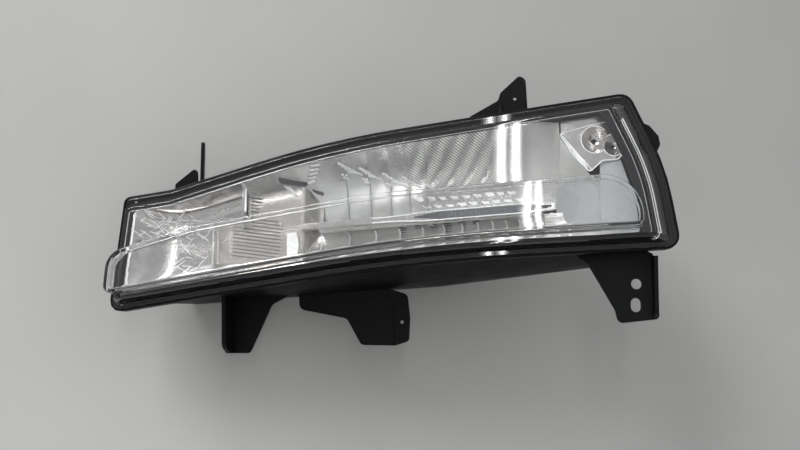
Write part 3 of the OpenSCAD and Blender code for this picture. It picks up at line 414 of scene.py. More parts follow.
def metal(name, colour, rough, grain=700, bump=0.1, stretch=None, spread=0.05, metallic=1.0):
    """Metal or metallised plastic with faint unevenness."""
    s = Shader(name).set(Metallic=metallic)
    s.cloud(colour, spread, 60, 4)
    s.feed("Roughness", s.level(s.noise(grain, 3, stretch=stretch), max(rough - 0.05, 0.01), rough + 0.06))
    s.bump(s.noise(grain, 3, stretch=stretch), bump, METAL_GRAIN)
    return s.block


def reflector_chrome(name, colour, rough):
    return metal(name, colour, rough, grain=260, bump=0.08, metallic=METALLISED)


def clear_plastic():
    """Polycarbonate with faint flow waves and hairline wear; lamps shine through it."""
    s = Shader("clear_lens").set(
        Base_Color=(0.985, 0.99, 0.992, 1), Transmission_Weight=1.0, IOR=1.585, Specular_IOR_Level=0.22)
    s.feed("Roughness", s.level(s.noise(90, 6), 0.0, 0.03, 0.45, 0.75))
    s.bump(s.noise(14, 2), 0.02, 0.001)
    path = s.nodes.new("ShaderNodeLightPath")
    return s.let_through(path.outputs["Is Shadow Ray"], (0.94, 0.95, 0.95, 1)).block


# Upper reflector's optics in metres: ridges, the swaths they lie in, their field and the plain outer end
RIDGE_PITCH, SWATH_PITCH = 0.0015, 0.0095
FIELD_LEFT, FIELD_RIGHT, FIELD_LOW = (-0.158, -0.148), (-0.1, -0.088), (0.064, 0.080)
PLAIN_LEFT = (-0.085, -0.068)


def optic_chrome():
    """Metallised reflector with a field of fine slanting ridges and a plain, duller outer end; its base
    colour carries painted highlights along the ridges and swaths and is lighter at the plain end.
    """
    s = Shader("optic_chrome").set(Metallic=METALLISED)
    x, z = s.axes()
    plain = s.level(x, 0, 1, *PLAIN_LEFT)
    s.feed("Roughness", s.math("ADD", s.level(s.noise(300, 4), 0.17, 0.27), s.math("MULTIPLY", plain, 0.3)))
    ridges = s.waves(x, z, 0.5, 0.87, RIDGE_PITCH)
    swaths = s.waves(x, z, 0.87, -0.5, SWATH_PITCH)
    field = s.math("MULTIPLY", s.level(x, 0, 1, *FIELD_LEFT), s.level(x, 1, 0, *FIELD_RIGHT))
    field = s.math("MULTIPLY", field, s.level(z, 0, 1, *FIELD_LOW))
    # Painted highlights: the base colour lightens along the ridges and swaths, up to white
    shine = s.math("MULTIPLY", ridges, s.level(swaths, 0.12, 0.5, -1, 1))
    shine = s.math("MULTIPLY", field, s.math("ADD", shine, s.math("MULTIPLY", swaths, 0.22)))
    shine = s.math("ADD", shine, s.level(s.noise(34, 3), 0.36, 0.54))
    shine = s.math("ADD", shine, s.math("MULTIPLY", plain, 0.2))
    s.feed("Base Color", s.ramp(shine, [
        (0.1, (0.32, 0.32, 0.31)), (0.38, (0.54, 0.535, 0.53)), (0.55, (0.64, 0.64, 0.635)),
        (0.95, (1.0, 1.0, 0.95))]))
    s.bump(s.math("MULTIPLY", ridges, field), 0.4, 0.0003)
    s.bump(s.noise(300, 3), 0.06, METAL_GRAIN)
    return s.block


CHROME = reflector_chrome("chrome", (0.6, 0.58, 0.565), 0.17)
SATIN = reflector_chrome("satin_chrome", (0.82, 0.8, 0.785), 0.2)
FLUTED = reflector_chrome("fluted_chrome", (0.57, 0.545, 0.52), 0.22)
OPTIC = optic_chrome()
# Painted highlights: a near-white, mostly diffuse material for the beads and patches that stand for bright
# reflections on the reflectors
HIGHLIGHT_PAINT = metal("painted_highlights", (0.97, 0.97, 0.965), 0.25, grain=900, bump=0.1, metallic=0.2)
DARK_CHROME = metal("dark_chrome", (0.2, 0.205, 0.215), 0.2, grain=420, bump=0.3)
ALUMINIUM = metal("extruded_aluminium", (0.68, 0.68, 0.7), 0.34, grain=900, bump=0.3, stretch=(1, 1, 14))
STEEL = metal("zinc_steel", (0.62, 0.61, 0.59), 0.3, grain=1200, bump=0.25, spread=0.12)
BRASS = metal("tinned_brass", (0.76, 0.68, 0.46), 0.25, grain=1200, bump=0.2)
PRIMER = moulded("lens_primer", (0.006, 0.006, 0.007), 0.5, shine=0.15)
# Painted highlight: a near-white material for beads inside the lens wall
LENS_EDGE_HIGHLIGHT = moulded("lens_edge", (0.93, 0.935, 0.94), 0.25, bump=0.05)
# Painted shade: a dark material for patches put where notches and slots lie in shade
POCKET_SHADE = moulded("pocket_shade", (0.05, 0.05, 0.052), 0.5)
FLUTE_SHADE = moulded("flute_shade", (0.13, 0.125, 0.12), 0.5)
HOUSING = moulded("housing_black", (0.0026, 0.003, 0.0034), 0.44, shine=0.12)
BEZEL = moulded("bezel_black", (0.0035, 0.004, 0.005), 0.36, bump=0.12, shine=0.12)
COVER = moulded("cover_black", (0.009, 0.0095, 0.0105), 0.48, shine=0.25)
NYLON = moulded("connector_nylon", (0.035, 0.036, 0.04), 0.5, grain=900)
RUBBER = moulded("seal_rubber", (0.03, 0.03, 0.031), 0.72, grain=700, bump=0.4)
SEALANT = moulded("sealant", (0.012, 0.012, 0.012), 0.6, shine=0.2)
PALE = moulded("pale_trim", (0.32, 0.33, 0.335), 0.28, spread=0.03, bump=0.08)
BOARD = moulded("white_mask", (0.72, 0.74, 0.72), 0.35, spread=0.06, bump=0.1)
GREEN = moulded("green_mask", (0.03, 0.16, 0.07), 0.3, spread=0.2, bump=0.15, blotch=60)
PACKAGE = moulded("led_package", (0.55, 0.54, 0.48), 0.4, spread=0.08, blotch=200)
PARTS = moulded("chip_black", (0.04, 0.04, 0.043), 0.55, grain=900)
LEAD = moulded("lead_red", (0.35, 0.03, 0.025), 0.45, spread=0.12)

# Looks of the CAD nodes that show as they are
NODE_LOOKS = {
    "glue_bead": SEALANT, "rear_housing": HOUSING, "bezel_frame": BEZEL, "corner_panel": PALE,
    "heat_sink": ALUMINIUM, "heat_sink_screws": STEEL, "upper_led_board": BOARD, "lower_led_board": BOARD,
    "upper_leds": PACKAGE, "lower_leds": PACKAGE, "board_screws": STEEL, "corner_led_board": PARTS,
    "corner_leds": PARTS, "corner_board_screws": STEEL, "driver_board": GREEN, "driver_components": PARTS,
    "rear_cover": COVER, "cover_gasket": RUBBER, "cover_screws": STEEL, "connector": NYLON,
    "connector_pins": BRASS, "vent_caps": RUBBER, "inner_leads": LEAD}
for node_name, look in NODE_LOOKS.items():
    NODES[node_name].material_slots[0].material = look


# Lens: the fine version of the CAD lens, with the raised band fused on
SWELL, SWELL_X, SWELL_WIDTH = 1.9, 112, 45
BAND_START, BAND_ROUND, BAND_DRAFT = 0.2, 1.0, 1.4


def quarter(count):
    return np.linspace(0, math.pi / 2, count)


def drop(a):
    """How far back a rounded front edge is at an angle."""
    return ROUND_DROP * (1 - math.cos(a))


def swelled(points, faces):
    """The band's face stands a little higher near its outer end."""
    points[:, 1] -= SWELL * np.exp(-((points[:, 0] - SWELL_X) / SWELL_WIDTH) ** 2)
    return points, faces


def lens_ring(inset, depths):
    """One ring round the lens, with its depths at the left and the right end."""
    return swept(flange_outline(inset), *depths)


def lens_rings():
    """The lens's section, from the edge of its face over the flange and the tongue to its inside."""
    rings = [
        lens_ring(WALL_OUT + SLOPE + ROUND_IN * (1 - math.sin(a)), drop(a) - FACES) for a in quarter(5)]
    rings += [
        lens_ring(WALL_OUT + SLOPE * (1 - t), (ROUND_DROP - FACES) * (1 - t)) for t in (0.35, 0.7, 0.92)]
    edge = RIM + 0.3
    bevel = 0.35
    flange_section = [
        (WALL_OUT, 0), (edge + bevel, 0), (edge, bevel), (edge, FLANGE_T - bevel), (edge + bevel, FLANGE_T),
        (TONGUE_OUT, FLANGE_T), (TONGUE_OUT, TONGUE_Y), (TONGUE_IN, TONGUE_Y), (TONGUE_IN, FLANGE_T),
        (WALL_IN, FLANGE_T)]
    rings += [lens_ring(inset, (depth, depth)) for inset, depth in flange_section]
    inner_rise = LENS_T - FACES + ROUND_DROP - FLANGE_T
    rings += [lens_ring(WALL_IN + SLOPE * t, FLANGE_T + inner_rise * t) for t in (0.1, 0.4, 0.7)]
    rings += [
        lens_ring(WALL_IN + SLOPE + ROUND_IN * (1 - math.sin(a)), LENS_T + drop(a) - FACES)
        for a in quarter(5)[::-1]]
    return rings


def band_block(name, inset, front, back):
    """A block under the band's outline, with a rounded front edge and drafted sides."""
    levels = [(inset + BAND_START + BAND_ROUND * (1 - math.sin(a)), drop(a) - front) for a in quarter(6)]
    levels += [
        (inset + BAND_START - BAND_DRAFT * t, ROUND_DROP - front + (front - ROUND_DROP - back) * t)
        for t in (0.33, 0.67, 1)]
    rings = [swept(band_outline(level_inset), y, y) for level_inset, y in levels]
    return new_object(name, *swelled(*ring_mesh(rings)), sharp_angle=32)


def prime(mesh):
    """Black primer behind the flange and on the tongue, and the same black on the upward-facing inside of the
    wall at the bottom, which darkens the band seen there.
    """
    rim = flange_outline(np.zeros(4))
    lower_rim = rim[rim[:, 1] < 0.08 * rim[:, 0] - 5]
    lower_rim = lower_rim[np.argsort(lower_rim[:, 0])]
    for face in mesh.polygons:
        spots = np.array([mesh.vertices[v].co for v in face.vertices]) / MM + ROW_SHIFT
        depths = spots[:, 1] - bow(spots[:, 0])
        heights = spots[:, 2] - np.interp(spots[:, 0], lower_rim[:, 0], lower_rim[:, 1])
        behind_flange = depths.min() > FLANGE_T - 0.1
        at_bottom = face.normal.z > 0.4 and heights.max() < 10.6
        on_wall = -11 < depths.min() and depths.max() < FLANGE_T + 0.2
        face.material_index = int(behind_flange or (at_bottom and on_wall))


def build_lens():
    body = new_object("lens_clear", *ring_mesh(lens_rings()), sharp_angle=32)
    boolean(body, band_block("band", 0, BAND_H, FACE_H - 1), "UNION")
    boolean(body, band_block("cavity", LENS_T, BAND_H - LENS_T, 2), "DIFFERENCE")
    shade(body.data, 28)
    return body


lens = build_lens()
dress(lens, "clear_lens", clear_plastic(), "lens")
lens.data.materials.append(PRIMER)
prime(lens.data)


# The opening that the reflectors fill, and its top and bottom edges without their corners
OPENING = LEDGE + 0.5
OPENING_LINE = flange_outline(OPENING)
HALF_COUNT = len(OPENING_LINE) // 2
EDGE_GAP = 0.2


def by_x(points):
    order = np.argsort(points[:, 0])
    return points[order, 0], points[order, 1]


TOP_LINE = by_x(OPENING_LINE[8:HALF_COUNT - 12])
BOTTOM_LINE = by_x(OPENING_LINE[HALF_COUNT + 12:-6])


def opening_top(x):
    return np.interp(x, *TOP_LINE)


def opening_bottom(x):
    return np.interp(x, *BOTTOM_LINE)


# The shelf between the upper and the lower reflector rises to the right
SHELF_X, SHELF_Z, SHELF_SLOPE, SHELF_HALF = -58, 1.7, 0.077, 1.7


def shelf_mid(x):
    return SHELF_Z + SHELF_SLOPE * (x - SHELF_X)


def bowl(v):
    return 1 - (1 - v) ** 2


def smooth(t):
    """0 up to t = 0, 1 from t = 1 on, and a smooth step between them."""
    s = np.clip(t, 0, 1)
    return s * s * (3 - 2 * s)


# Edges of the cells along X, and how far each cell steps forward at its end
UPPER_CELLS = [-58, -40, -24, -10, 3, 15]
LOWER_CELLS = [-58, -38, -19.5, -3, 13, 27.5, 40, 51, 61, 70.5, 79.5, 88.5, 97]
CELL_STEP = 3
UPPER_DEPTH, LOWER_DEPTH = 36, 29
UPPER_LEFT, LOWER_LEFT, MIRRORS_RIGHT = -110, -131, 137
# Corner plate's upper left corner and depth, and where the upper reflector turns back to it
CORNER_X, CORNER_Y, CORNER_Z = 106.5, 24.24, 63.0
TURN_X = 86


def saw(x, edges):
    """0 outside the cells, rising through each cell to 1 and dropping at its end."""
    edges = np.asarray(edges, float)
    i = np.clip(np.searchsorted(edges, x, side="right") - 1, 0, len(edges) - 2)
    t = (x - edges[i]) / (edges[i + 1] - edges[i])
    return np.where((x < edges[0]) | (x > edges[-1]), 0, t)


def cell_relief(x, v, edges):
    return CELL_STEP * saw(x, edges) ** 2 * np.minimum(v * 3, 1)


def upper_edges(x):
    """Top and bottom of the upper reflector."""
    low = shelf_mid(x) + SHELF_HALF
    slant = np.maximum(CORNER_Z - (x - CORNER_X) * 4 / 3 - 0.8, low + 0.5)
    return np.where(x > CORNER_X, slant, opening_top(x) - EDGE_GAP), low


def upper_y(x, z):
    """Depth of the upper reflector's face."""
    top, low = upper_edges(x)
    v = np.clip((top - z) / (top - low), 0, 1)
    turn = smooth((x - TURN_X) / (CORNER_X - TURN_X))
    start = (bow(x) + EDGE_Y) * (1 - turn) + (CORNER_Y + 1.8) * turn
    deep = bow(x) + EDGE_Y + UPPER_DEPTH
    return start + (deep - start) * bowl(v ** (1 + 0.6 * turn)) - cell_relief(x, v, UPPER_CELLS)


def lower_edges(x):
    """Bottom and top of the lower reflector, which is taller beside the left tray."""
    return opening_bottom(x) + EDGE_GAP, shelf_mid(x) - SHELF_HALF + 6 * smooth((-111.5 - x) / 2)


def lower_y(x, z):
    """Depth of the lower reflector's face."""
    low, top = lower_edges(x)
    v = np.clip((z - low) / (top - low), 0, 1)
    return bow(x) + EDGE_Y + LOWER_DEPTH * bowl(v) - cell_relief(x, v, LOWER_CELLS)


def lipped(x, y, left, depth):
    """The same depths with the left end brought forward as a lip."""
    return np.where(x < left + 1.6, np.minimum(y, bow(x) + EDGE_Y + depth), y)


def upper_grid():
    gx, gv = np.meshgrid(np.linspace(UPPER_LEFT, MIRRORS_RIGHT, 420), np.linspace(0, 1, 96) ** 0.85)
    top, low = upper_edges(gx)
    z = top * (1 - gv) + low * gv
    y = upper_y(gx, z)
    # Slanting waves under the ridged field
    rise = smooth((gx - 2) / 12) * smooth((66 - gx) / 8) * smooth((z - low - 19) / 8)
    y -= 0.55 * rise * np.sin(2 * math.pi * (gx * 0.87 - z * 0.5 + 2 * np.sin(z / 9)) / (SWATH_PITCH / MM))
    # Small facets at the foot of the outer end
    rng = np.random.default_rng(4)
    speck = smooth((gx - 88) / 6) * smooth((124 - gx) / 6)
    speck *= smooth((z - low) / 2) * smooth((low + 14 - z) / 3)
    y -= 0.45 * speck * (rng.random(gx.shape) - 0.5)
    return np.stack([gx, lipped(gx, y, UPPER_LEFT, 7), z], -1)


def lower_grid():
    gx, gv = np.meshgrid(np.linspace(LOWER_LEFT, MIRRORS_RIGHT, 430), np.linspace(0, 1, 90))
    low, top = lower_edges(gx)
    z = low * (1 - gv) + top * gv
    y = lower_y(gx, z)
    # Fine ribs along the cells
    inside = smooth((gx + 60) / 3) * smooth((110 - gx) / 8)
    y -= 0.07 * inside * np.sin(2 * math.pi * (z - SHELF_SLOPE * gx) / 1.9)
    return np.stack([gx, lipped(gx, y, LOWER_LEFT, 9), z], -1)


# Left tray: its left edge follows the opening, and its top part reaches further right
LEFT_CORNERS = [
    inset_corner(FLANGE, i, OPENING[EDGE_SIDE[i - 1]], OPENING[EDGE_SIDE[i]]) for i in range(2)]
TRAY_DEPTH = 17
TRAY_RIGHT, TRAY_TOP_RIGHT, TRAY_STEP = -131.6, -110.6, 0.355


def tray_start(z):
    low, high = LEFT_CORNERS
    return low[0] + (high[0] - low[0]) * (z - low[1]) / (high[1] - low[1]) + 1


def tray_ends(v):
    """The tray's left and right end, from v = 0 at its top to 1 at its bottom."""
    left = tray_start(LEFT_CORNERS[1][1] * (1 - v) + LEFT_CORNERS[0][1] * v)
    reach = smooth((TRAY_STEP - v) * 33 + 0.5)
    return left, TRAY_RIGHT * (1 - reach) + TRAY_TOP_RIGHT * reach


def tray_y(x, z):
    """Depth of the left end reflector's tray."""
    v = np.clip((opening_top(x) - z) / (opening_top(x) - opening_bottom(x)), 0, 1)
    left, right = tray_ends(v)
    u = np.clip((x - left) / (right - left), 0, 1)
    return bow(x) + EDGE_Y + TRAY_DEPTH * bowl(np.minimum(u * 1.25, 1)) * (1 - np.abs(2 * v - 1) ** 6)


def left_grid():
    """The tray's points, with rows closer together where its right end steps."""
    rows = np.concatenate([np.linspace(0, 0.335, 34), np.linspace(0.345, 0.365, 6), np.linspace(0.38, 1, 50)])
    u, v = np.meshgrid(np.linspace(0, 1, 90), rows)
    left, right = tray_ends(v)
    x = left * (1 - u) + right * u
    z = (opening_top(x) - EDGE_GAP) * (1 - v) + (opening_bottom(x) + EDGE_GAP) * v
    return np.stack([x, tray_y(x, z), z], -1)


dress(sheet("upper_mirror", upper_grid(), (0, 1.4, 0.56)), "chrome_reflector", OPTIC, "upper_reflector")
dress(sheet("lower_mirror", lower_grid(), (0, 1.4, -0.56)), "chrome_reflector", SATIN, "lower_reflector")
dress(sheet("left_mirror", left_grid(), (0, 1.4, 0)), "chrome_reflector", CHROME, "left_reflector")


# Panel between the left tray and the cells: smooth above, fluted below
PANEL_DEPTH, PANEL_HOLLOW, PANEL_FALL = 19.5, 1.5, 13
PANEL_BACK = (0, 1.2, 0)
PANEL_BOTTOM, FLUTES_BOTTOM, FLUTES_TOP, TEETH_TOP = -23.5, -19.6, 7.4, 24
FLUTE_PITCH, FLUTE_FALL, FLUTE_HALF, FLUTE_DEPTH = 2.45, 0.13, 0.45, 0.8


def panel_y(x, z):
    """Depth of the panel: faintly hollow, and falling back towards the cells."""
    hollow = PANEL_HOLLOW * ((z - 2) / 24) ** 2
    return bow(x) + PANEL_DEPTH + hollow + 0.02 * (x + 95) + PANEL_FALL * smooth((x + 71) / 13)


def flute_lines():
    """The grooves of the panel: each falls a little to the right."""
    lines = []
    for level in np.arange(FLUTES_BOTTOM, TEETH_TOP, FLUTE_PITCH):
        if level < FLUTES_TOP:
            first = -122.0 if level < 1 else -107.2
            last = -81.5 - 0.9 * max(level - 3, 0) - 0.8 * max(-12 - level, 0)
        else:
            first, last = -106.9, -100.0 + 0.25 * (level - 14)
        x = np.linspace(first, last, 12)
        lines.append(np.stack([x, level - FLUTE_FALL * (x + 100)], 1))
    return lines


def panel_grid(x0, x1, top, columns, rows):
    gx, gz = np.meshgrid(np.linspace(x0, x1, columns), np.linspace(top, PANEL_BOTTOM, rows))
    y = panel_y(gx, gz)
    for line in flute_lines():
        (first, level), (last, _) = line[0], line[-1]
        near = np.clip(1 - np.abs(gz - level + FLUTE_FALL * (gx - first)) / FLUTE_HALF, 0, 1)
        y += FLUTE_DEPTH * near * smooth(gx - first + 0.5) * smooth(last - gx + 0.5)
    return np.stack([gx, y, gz], -1)


flute_low = sheet("flute_low", panel_grid(-130.0, -108.2, 7.0, 50, 130), PANEL_BACK)
dress(flute_low, "fluted_chrome", FLUTED, "fluted_panel")
flute_high = sheet("flute_high", panel_grid(-108.0, -57.8, 37.0, 110, 240), PANEL_BACK)
dress(flute_high, "fluted_chrome", FLUTED)


# Raised details, each a closed bead or patch that stands on a reflector's face; the bright ones are painted
# highlights and reflections, the dark ones painted shade
STEP_REACH = 0.7
BEAD_SECTION = ((-0.5, -0.35), (-0.5, 0.55), (0, 1), (0.5, 0.55), (0.5, -0.35))
PATCH_ROOT = 0.3


def foremost(depth):
    """The nearest depth around a place, so that details clear the steps between cells."""
    steps = (-STEP_REACH, 0, STEP_REACH)
    return lambda x, z: np.minimum.reduce([depth(x + step, z) for step in steps])


upper_front, lower_front = foremost(upper_y), foremost(lower_y)


def facet_front(x, z):
    return np.minimum(upper_front(x, z), panel_y(x, z))


def behind_bow(depth):
    return lambda x, z: bow(x) + depth


def flat_depth(y):
    return lambda x, z: np.full(np.shape(x), y, float)


def beads(name, paths, depth, width, height):
    """Beads along paths of x and z points."""
    points, faces = [], []
    corners = len(BEAD_SECTION)
    for path in paths:
        path = np.asarray(path, float)
        ahead = np.gradient(path, axis=0)
        ahead /= np.linalg.norm(ahead, axis=1)[:, None]
        side = np.stack([ahead[:, 1], -ahead[:, 0]], 1)
        first = len(points)
        for across, rise in BEAD_SECTION:
            at = path + side * across * width
            points += list(np.stack([at[:, 0], depth(at[:, 0], at[:, 1]) - rise * height, at[:, 1]], 1))
        n = len(path)
        ring = [[first + k * n + i for k in range(corners)] for i in range(n)]
        for a, b in zip(ring[:-1], ring[1:]):
            faces += [(a[k], b[k], b[(k + 1) % corners], a[(k + 1) % corners]) for k in range(corners)]
        faces += [tuple(ring[0]), tuple(ring[-1][::-1])]
    return new_object(name, points, faces, sharp_angle=40)


def patches(name, outlines, depth, height):
    """Flat raised patches with outlines of x and z points."""
    points, faces = [], []
    for outline in outlines:
        outline = np.asarray(outline, float)
        faces += capped_faces(2, len(outline), len(points))
        y = depth(outline[:, 0], outline[:, 1])
        for level in (-height, PATCH_ROOT):
            points += list(np.stack([outline[:, 0], y + level, outline[:, 1]], 1))
    return new_object(name, points, faces)


def lower_span(x):
    return (float(e) for e in lower_edges(np.array(x)))


def cell_edge_paths():
    """Painted highlights on the risers of the lower cells: each runs down and turns in at its foot."""
    paths = []
    for x in LOWER_CELLS[:-1]:
        low, top = lower_span(x)
        height = top - low
        foot = low + 0.44 * height
        reach = 5.5 if x < 20 else 3.2
        paths.append([
            (x - 1.2, top - 0.12 * height), (x - 0.2, top - 0.25 * height), (x, foot + 2.6),
            (x - 0.8, foot + 0.9), (x - reach * 0.5, foot + 0.2), (x - reach, foot - 0.2)])
        paths.append([
            (x + 1.2, foot - 3.0), (x + 0.8, foot - 4.4), (x - 0.6, foot - 5.6), (x - reach, foot - 6.2)])
    return paths


def dot_paths():
    """Two rows of short dashes of painted highlight along the foot of the lower cells."""
    paths = []
    for x in LOWER_CELLS[4:] + [105, 113]:
        low, top = lower_span(x)
        for part in (0.42, 0.22):
            z = low + part * (top - low)
            paths.append([(x - 1.0, z + 0.1), (x - 0.2, z + 0.3), (x + 0.8, z + 0.5)])
    return paths


# Claw-shaped painted highlights in the upper cells: x, z, reach and number of ribs
CLAWS = [(-44, 44.5, 10, 4), (-30.5, 42.0, 9, 4), (-15.0, 39.0, 9, 5), (-1.5, 37.4, 7, 4), (10.5, 35.2, 7, 3)]


def claw_paths():
    """Painted highlights: a stack of short ribs, and then the claws."""
    paths = []
    for k in range(6):
        x, z, half = -57.5 - 1.3 * k, 45.0 - 2.3 * k, 3.4 - 0.15 * k
        paths.append([(x - half, z - 0.5), (x, z), (x + half, z + 0.6)])
    for x, z, reach, count in CLAWS:
        for k in range(count):
            left, high = x + 1.9 * k, z - 1.5 * k
            paths.append([
                (left, high), (left + reach * (0.32 + 0.12 * k), high - 0.9),
                (left + reach * (0.5 + 0.16 * k), high - 2.3)])
        if reach > 8:
            for k in range(2):
                paths.append([(x + 1.5 + k, z - 6.5 - 1.8 * k), (x + 5.5 + k, z - 6.9 - 1.8 * k)])
    return paths


def step_outlines():
    """Two rows of step-shaped painted highlights over the divider."""
    rng = np.random.default_rng(8)
    outlines = []
    for row_z, size, start in ((14.4, 2.5, 7), (9.4, 2.1, 12)):
        for k in range(9):
            x = start + 8.1 * k + rng.uniform(-0.4, 0.4)
            z = float(shelf_mid(x)) + row_z
            tall, wide = size * rng.uniform(0.75, 1.15), rng.uniform(4.2, 5.8)
            outlines.append([
                (x - 0.6, z + tall), (x + wide, z + tall + 0.3), (x + wide + 1.0, z + 0.6), (x + 2.2, z)])
    return outlines


def tangle_paths():
    """Crossing lines of painted reflection in the left tray, most in its upper part."""
    rng = np.random.default_rng(11)
    paths = []
    for k in range(64):
        if k < 40:
            x, z = rng.uniform(-182, -118), rng.uniform(0, 13)
            z += 0.12 * (x + 150)
        else:
            x, z = rng.uniform(-160, -136), rng.uniform(-28, -2)
        turn = rng.choice([-0.75, 0.7, 0.15]) + rng.uniform(-0.2, 0.2)
        reach = rng.uniform(1.5, 5)
        step = np.array([math.cos(turn), -math.sin(turn)]) * reach
        middle = np.array([x, z])
        paths.append([middle - step, middle + rng.uniform(-0.4, 0.4, 2), middle + step])
    return paths


def tray_edge_path():
    """A painted highlight along the tray's left edge, which wanders a little in its lower part."""
    z = np.linspace(19, -52, 90)
    rng = np.random.default_rng(3)
    wander = np.convolve(rng.uniform(-1, 1, 90), np.ones(5) / 5, "same") * 1.6 * smooth((-8 - z) / 6)
    return np.stack([tray_start(z) + 0.9 + wander, z], 1)


def riser_teeth(x, z0, z1):
    return [[(x - 0.5, z), (x + 0.5, z)] for z in np.arange(z0, z1, 1.62)]


def foot_box(x):
    """A short box at the foot of the lower reflector's left end, coloured as a painted highlight."""
    rise = 0.13 * (x + 131)
    return [(x, rise - 27.8), (x + 4.2, rise - 27.3), (x + 4.0, rise - 34), (x + 0.3, rise - 34.6)]


def notch(x):
    """A notch under the shelf, as a dark patch of painted shade."""
    z = float(shelf_mid(x)) - 2.8
    return [(x - 2.7, z - 1.1), (x + 0.3, z + 0.9), (x + 2.7, z - 0.7)]


# Painted highlights along the panel's risers
RISER_LINE = [(-131.6, -1.8), (-131.6, -12), (-131.5, -23)]
HIGH_RISER_LINE = [(-107.9, 36), (-107.9, 24), (-107.9, 12)]
# Patches of painted reflection on the panel and on the upper reflector
END_HIGHLIGHT = [(-80.5, -2.2), (-74, -1.6), (-72.3, -10), (-73.5, -17), (-80.5, -19.5)]
WEDGE_HIGHLIGHT = [(-83, 30.5), (-78.5, 30), (-73.5, 24.2), (-75.5, 23.4)]
SLOTS = [
    [(-85, 35), (-76, 33.4), (-66, 32.6), (-68, 30.6), (-78, 31.0), (-85, 32)],
    [(-65, 29), (-57, 26.8), (-57.5, 25), (-63, 27)]]
# Painted highlights and reflections on the reflectors, some of them on real risers and edges
SPARKS = [
    beads("cell_edges", cell_edge_paths(), lower_front, 1.3, 1.1),
    beads("cell_dots", dot_paths(), lower_front, 2.2, 1.4),
    beads("claws", claw_paths(), facet_front, 1.35, 1.1),
    patches("step_patches", step_outlines(), upper_front, 0.45),
    beads("tangle", tangle_paths(), tray_y, 0.5, 0.5),
    beads("tray_edge", [tray_edge_path()], behind_bow(EDGE_Y + 0.6), 1.5, 0.5),
    beads("risers", [RISER_LINE], behind_bow(17.5), 1.3, 0.5),
    beads("high_riser", [HIGH_RISER_LINE], behind_bow(12.0), 1.3, 0.5),
    beads("low_teeth", riser_teeth(-128.9, -22.5, -2.5), panel_y, 0.8, 0.6),
    beads("high_teeth", riser_teeth(-106.3, 6, 21.5), panel_y, 0.8, 0.6),
    patches("end_highlight", [END_HIGHLIGHT], panel_y, 0.8),
    patches("wedge_highlight", [WEDGE_HIGHLIGHT], facet_front, 0.5),
    patches("foot_boxes", [foot_box(x) for x in (-130, -124.6, -119.2, -113.8)], lower_front, 0.6)]
for spark in SPARKS:
    dress(spark, "chrome_reflector", HIGHLIGHT_PAINT)

notch_shades = patches("notch_shades", [notch(x) for x in (-2.2, 8.8, 19.6, 29.4, 39.2, 48.8)], lower_front, 1.6)
dress(notch_shades, "dark_chrome", POCKET_SHADE)
inner_flutes = [line[1:-1] for line in flute_lines()]
flute_shades = beads("flute_shades", inner_flutes, lambda x, z: panel_y(x, z) + 0.5, 0.85, 0.3)
dress(flute_shades, "dark_chrome", FLUTE_SHADE)
# Painted shade: dark patches over the slots
dress(patches("slots", SLOTS, facet_front, 0.4), "dark_chrome", POCKET_SHADE)


# Divider between the reflectors, with its dark hatched field and painted highlights along its two edges
DIVIDER_Y, DIVIDER_SLOPE, DIVIDER_RIGHT = 11.4, 0.0524, 100
HATCH_LEFT, HATCH_PITCH, HATCH_SLANT, HATCH_DEPTH = 8, 2.3, 1.6, 0.5


def divider_y(x, z):
    return DIVIDER_Y + DIVIDER_SLOPE * (x - SHELF_X)


def narrowed(x, half):
    """Half the divider's height, which is smaller at its left part and at its tip."""
    return half - 1.4 * smooth((20 - x) / 30) - 1.2 * smooth((x - 86) / 14)


def divider_points(gx, gt, half, relief=0.0):
    z = shelf_mid(gx) + gt * half
    return np.stack([gx, divider_y(gx, z) - relief, z], -1)


def divider_face_grid():
    gx, gt = np.meshgrid(np.linspace(-68, DIVIDER_RIGHT + 2, 60), np.linspace(1, -1, 6))
    return divider_points(gx, gt, narrowed(gx, 3.3))


def divider_hatch_grid():
    """The hatched field, which tapers towards both ends."""
    gx, gt = np.meshgrid(np.linspace(HATCH_LEFT, DIVIDER_RIGHT, 580), np.linspace(1, -1, 12))
    from_end = np.minimum(gx - HATCH_LEFT, DIVIDER_RIGHT - gx)
    wave = np.abs(np.sin(math.pi * (gx + HATCH_SLANT * gt) / HATCH_PITCH))
    return divider_points(gx, gt, 2.9 * np.minimum(1, 0.15 + from_end / 22), HATCH_DEPTH * wave)


divider_face = sheet("divider_face", divider_face_grid(), (0, 8, 0))
dress(divider_face, "dark_chrome", CHROME, "divider_strip")
dress(sheet("divider_hatch", divider_hatch_grid(), (0, 0.9, 0)), "dark_chrome", DARK_CHROME)
divider_line = np.linspace(-20, DIVIDER_RIGHT, 60)
# Painted highlights: near-white beads along the divider's top and bottom edges
for name, side in (("divider_top", 1), ("divider_low", -1)):
    edge_path = np.stack([divider_line, shelf_mid(divider_line) + side * narrowed(divider_line, 3.0)], 1)
    dress(beads(name, [edge_path], divider_y, 0.7, 0.8), "chrome_reflector", HIGHLIGHT_PAINT)


# Filler between the upper reflector's end and the pale panel
FILL_LEFT, FILL_RIGHT, FILL_Y, FILL_DEPTH = 105, 139, 27.6, 22


def filler_grid():
    gx, gz = np.meshgrid(np.linspace(FILL_LEFT, FILL_RIGHT, 34), np.linspace(36, -10, 24))
    return np.stack([gx, FILL_Y + FILL_DEPTH * ((FILL_RIGHT - gx) / (FILL_RIGHT - FILL_LEFT)) ** 2, gz], -1)


dress(sheet("corner_fill", filler_grid(), (0, 1.2, 0)), "pale_trim", PALE)


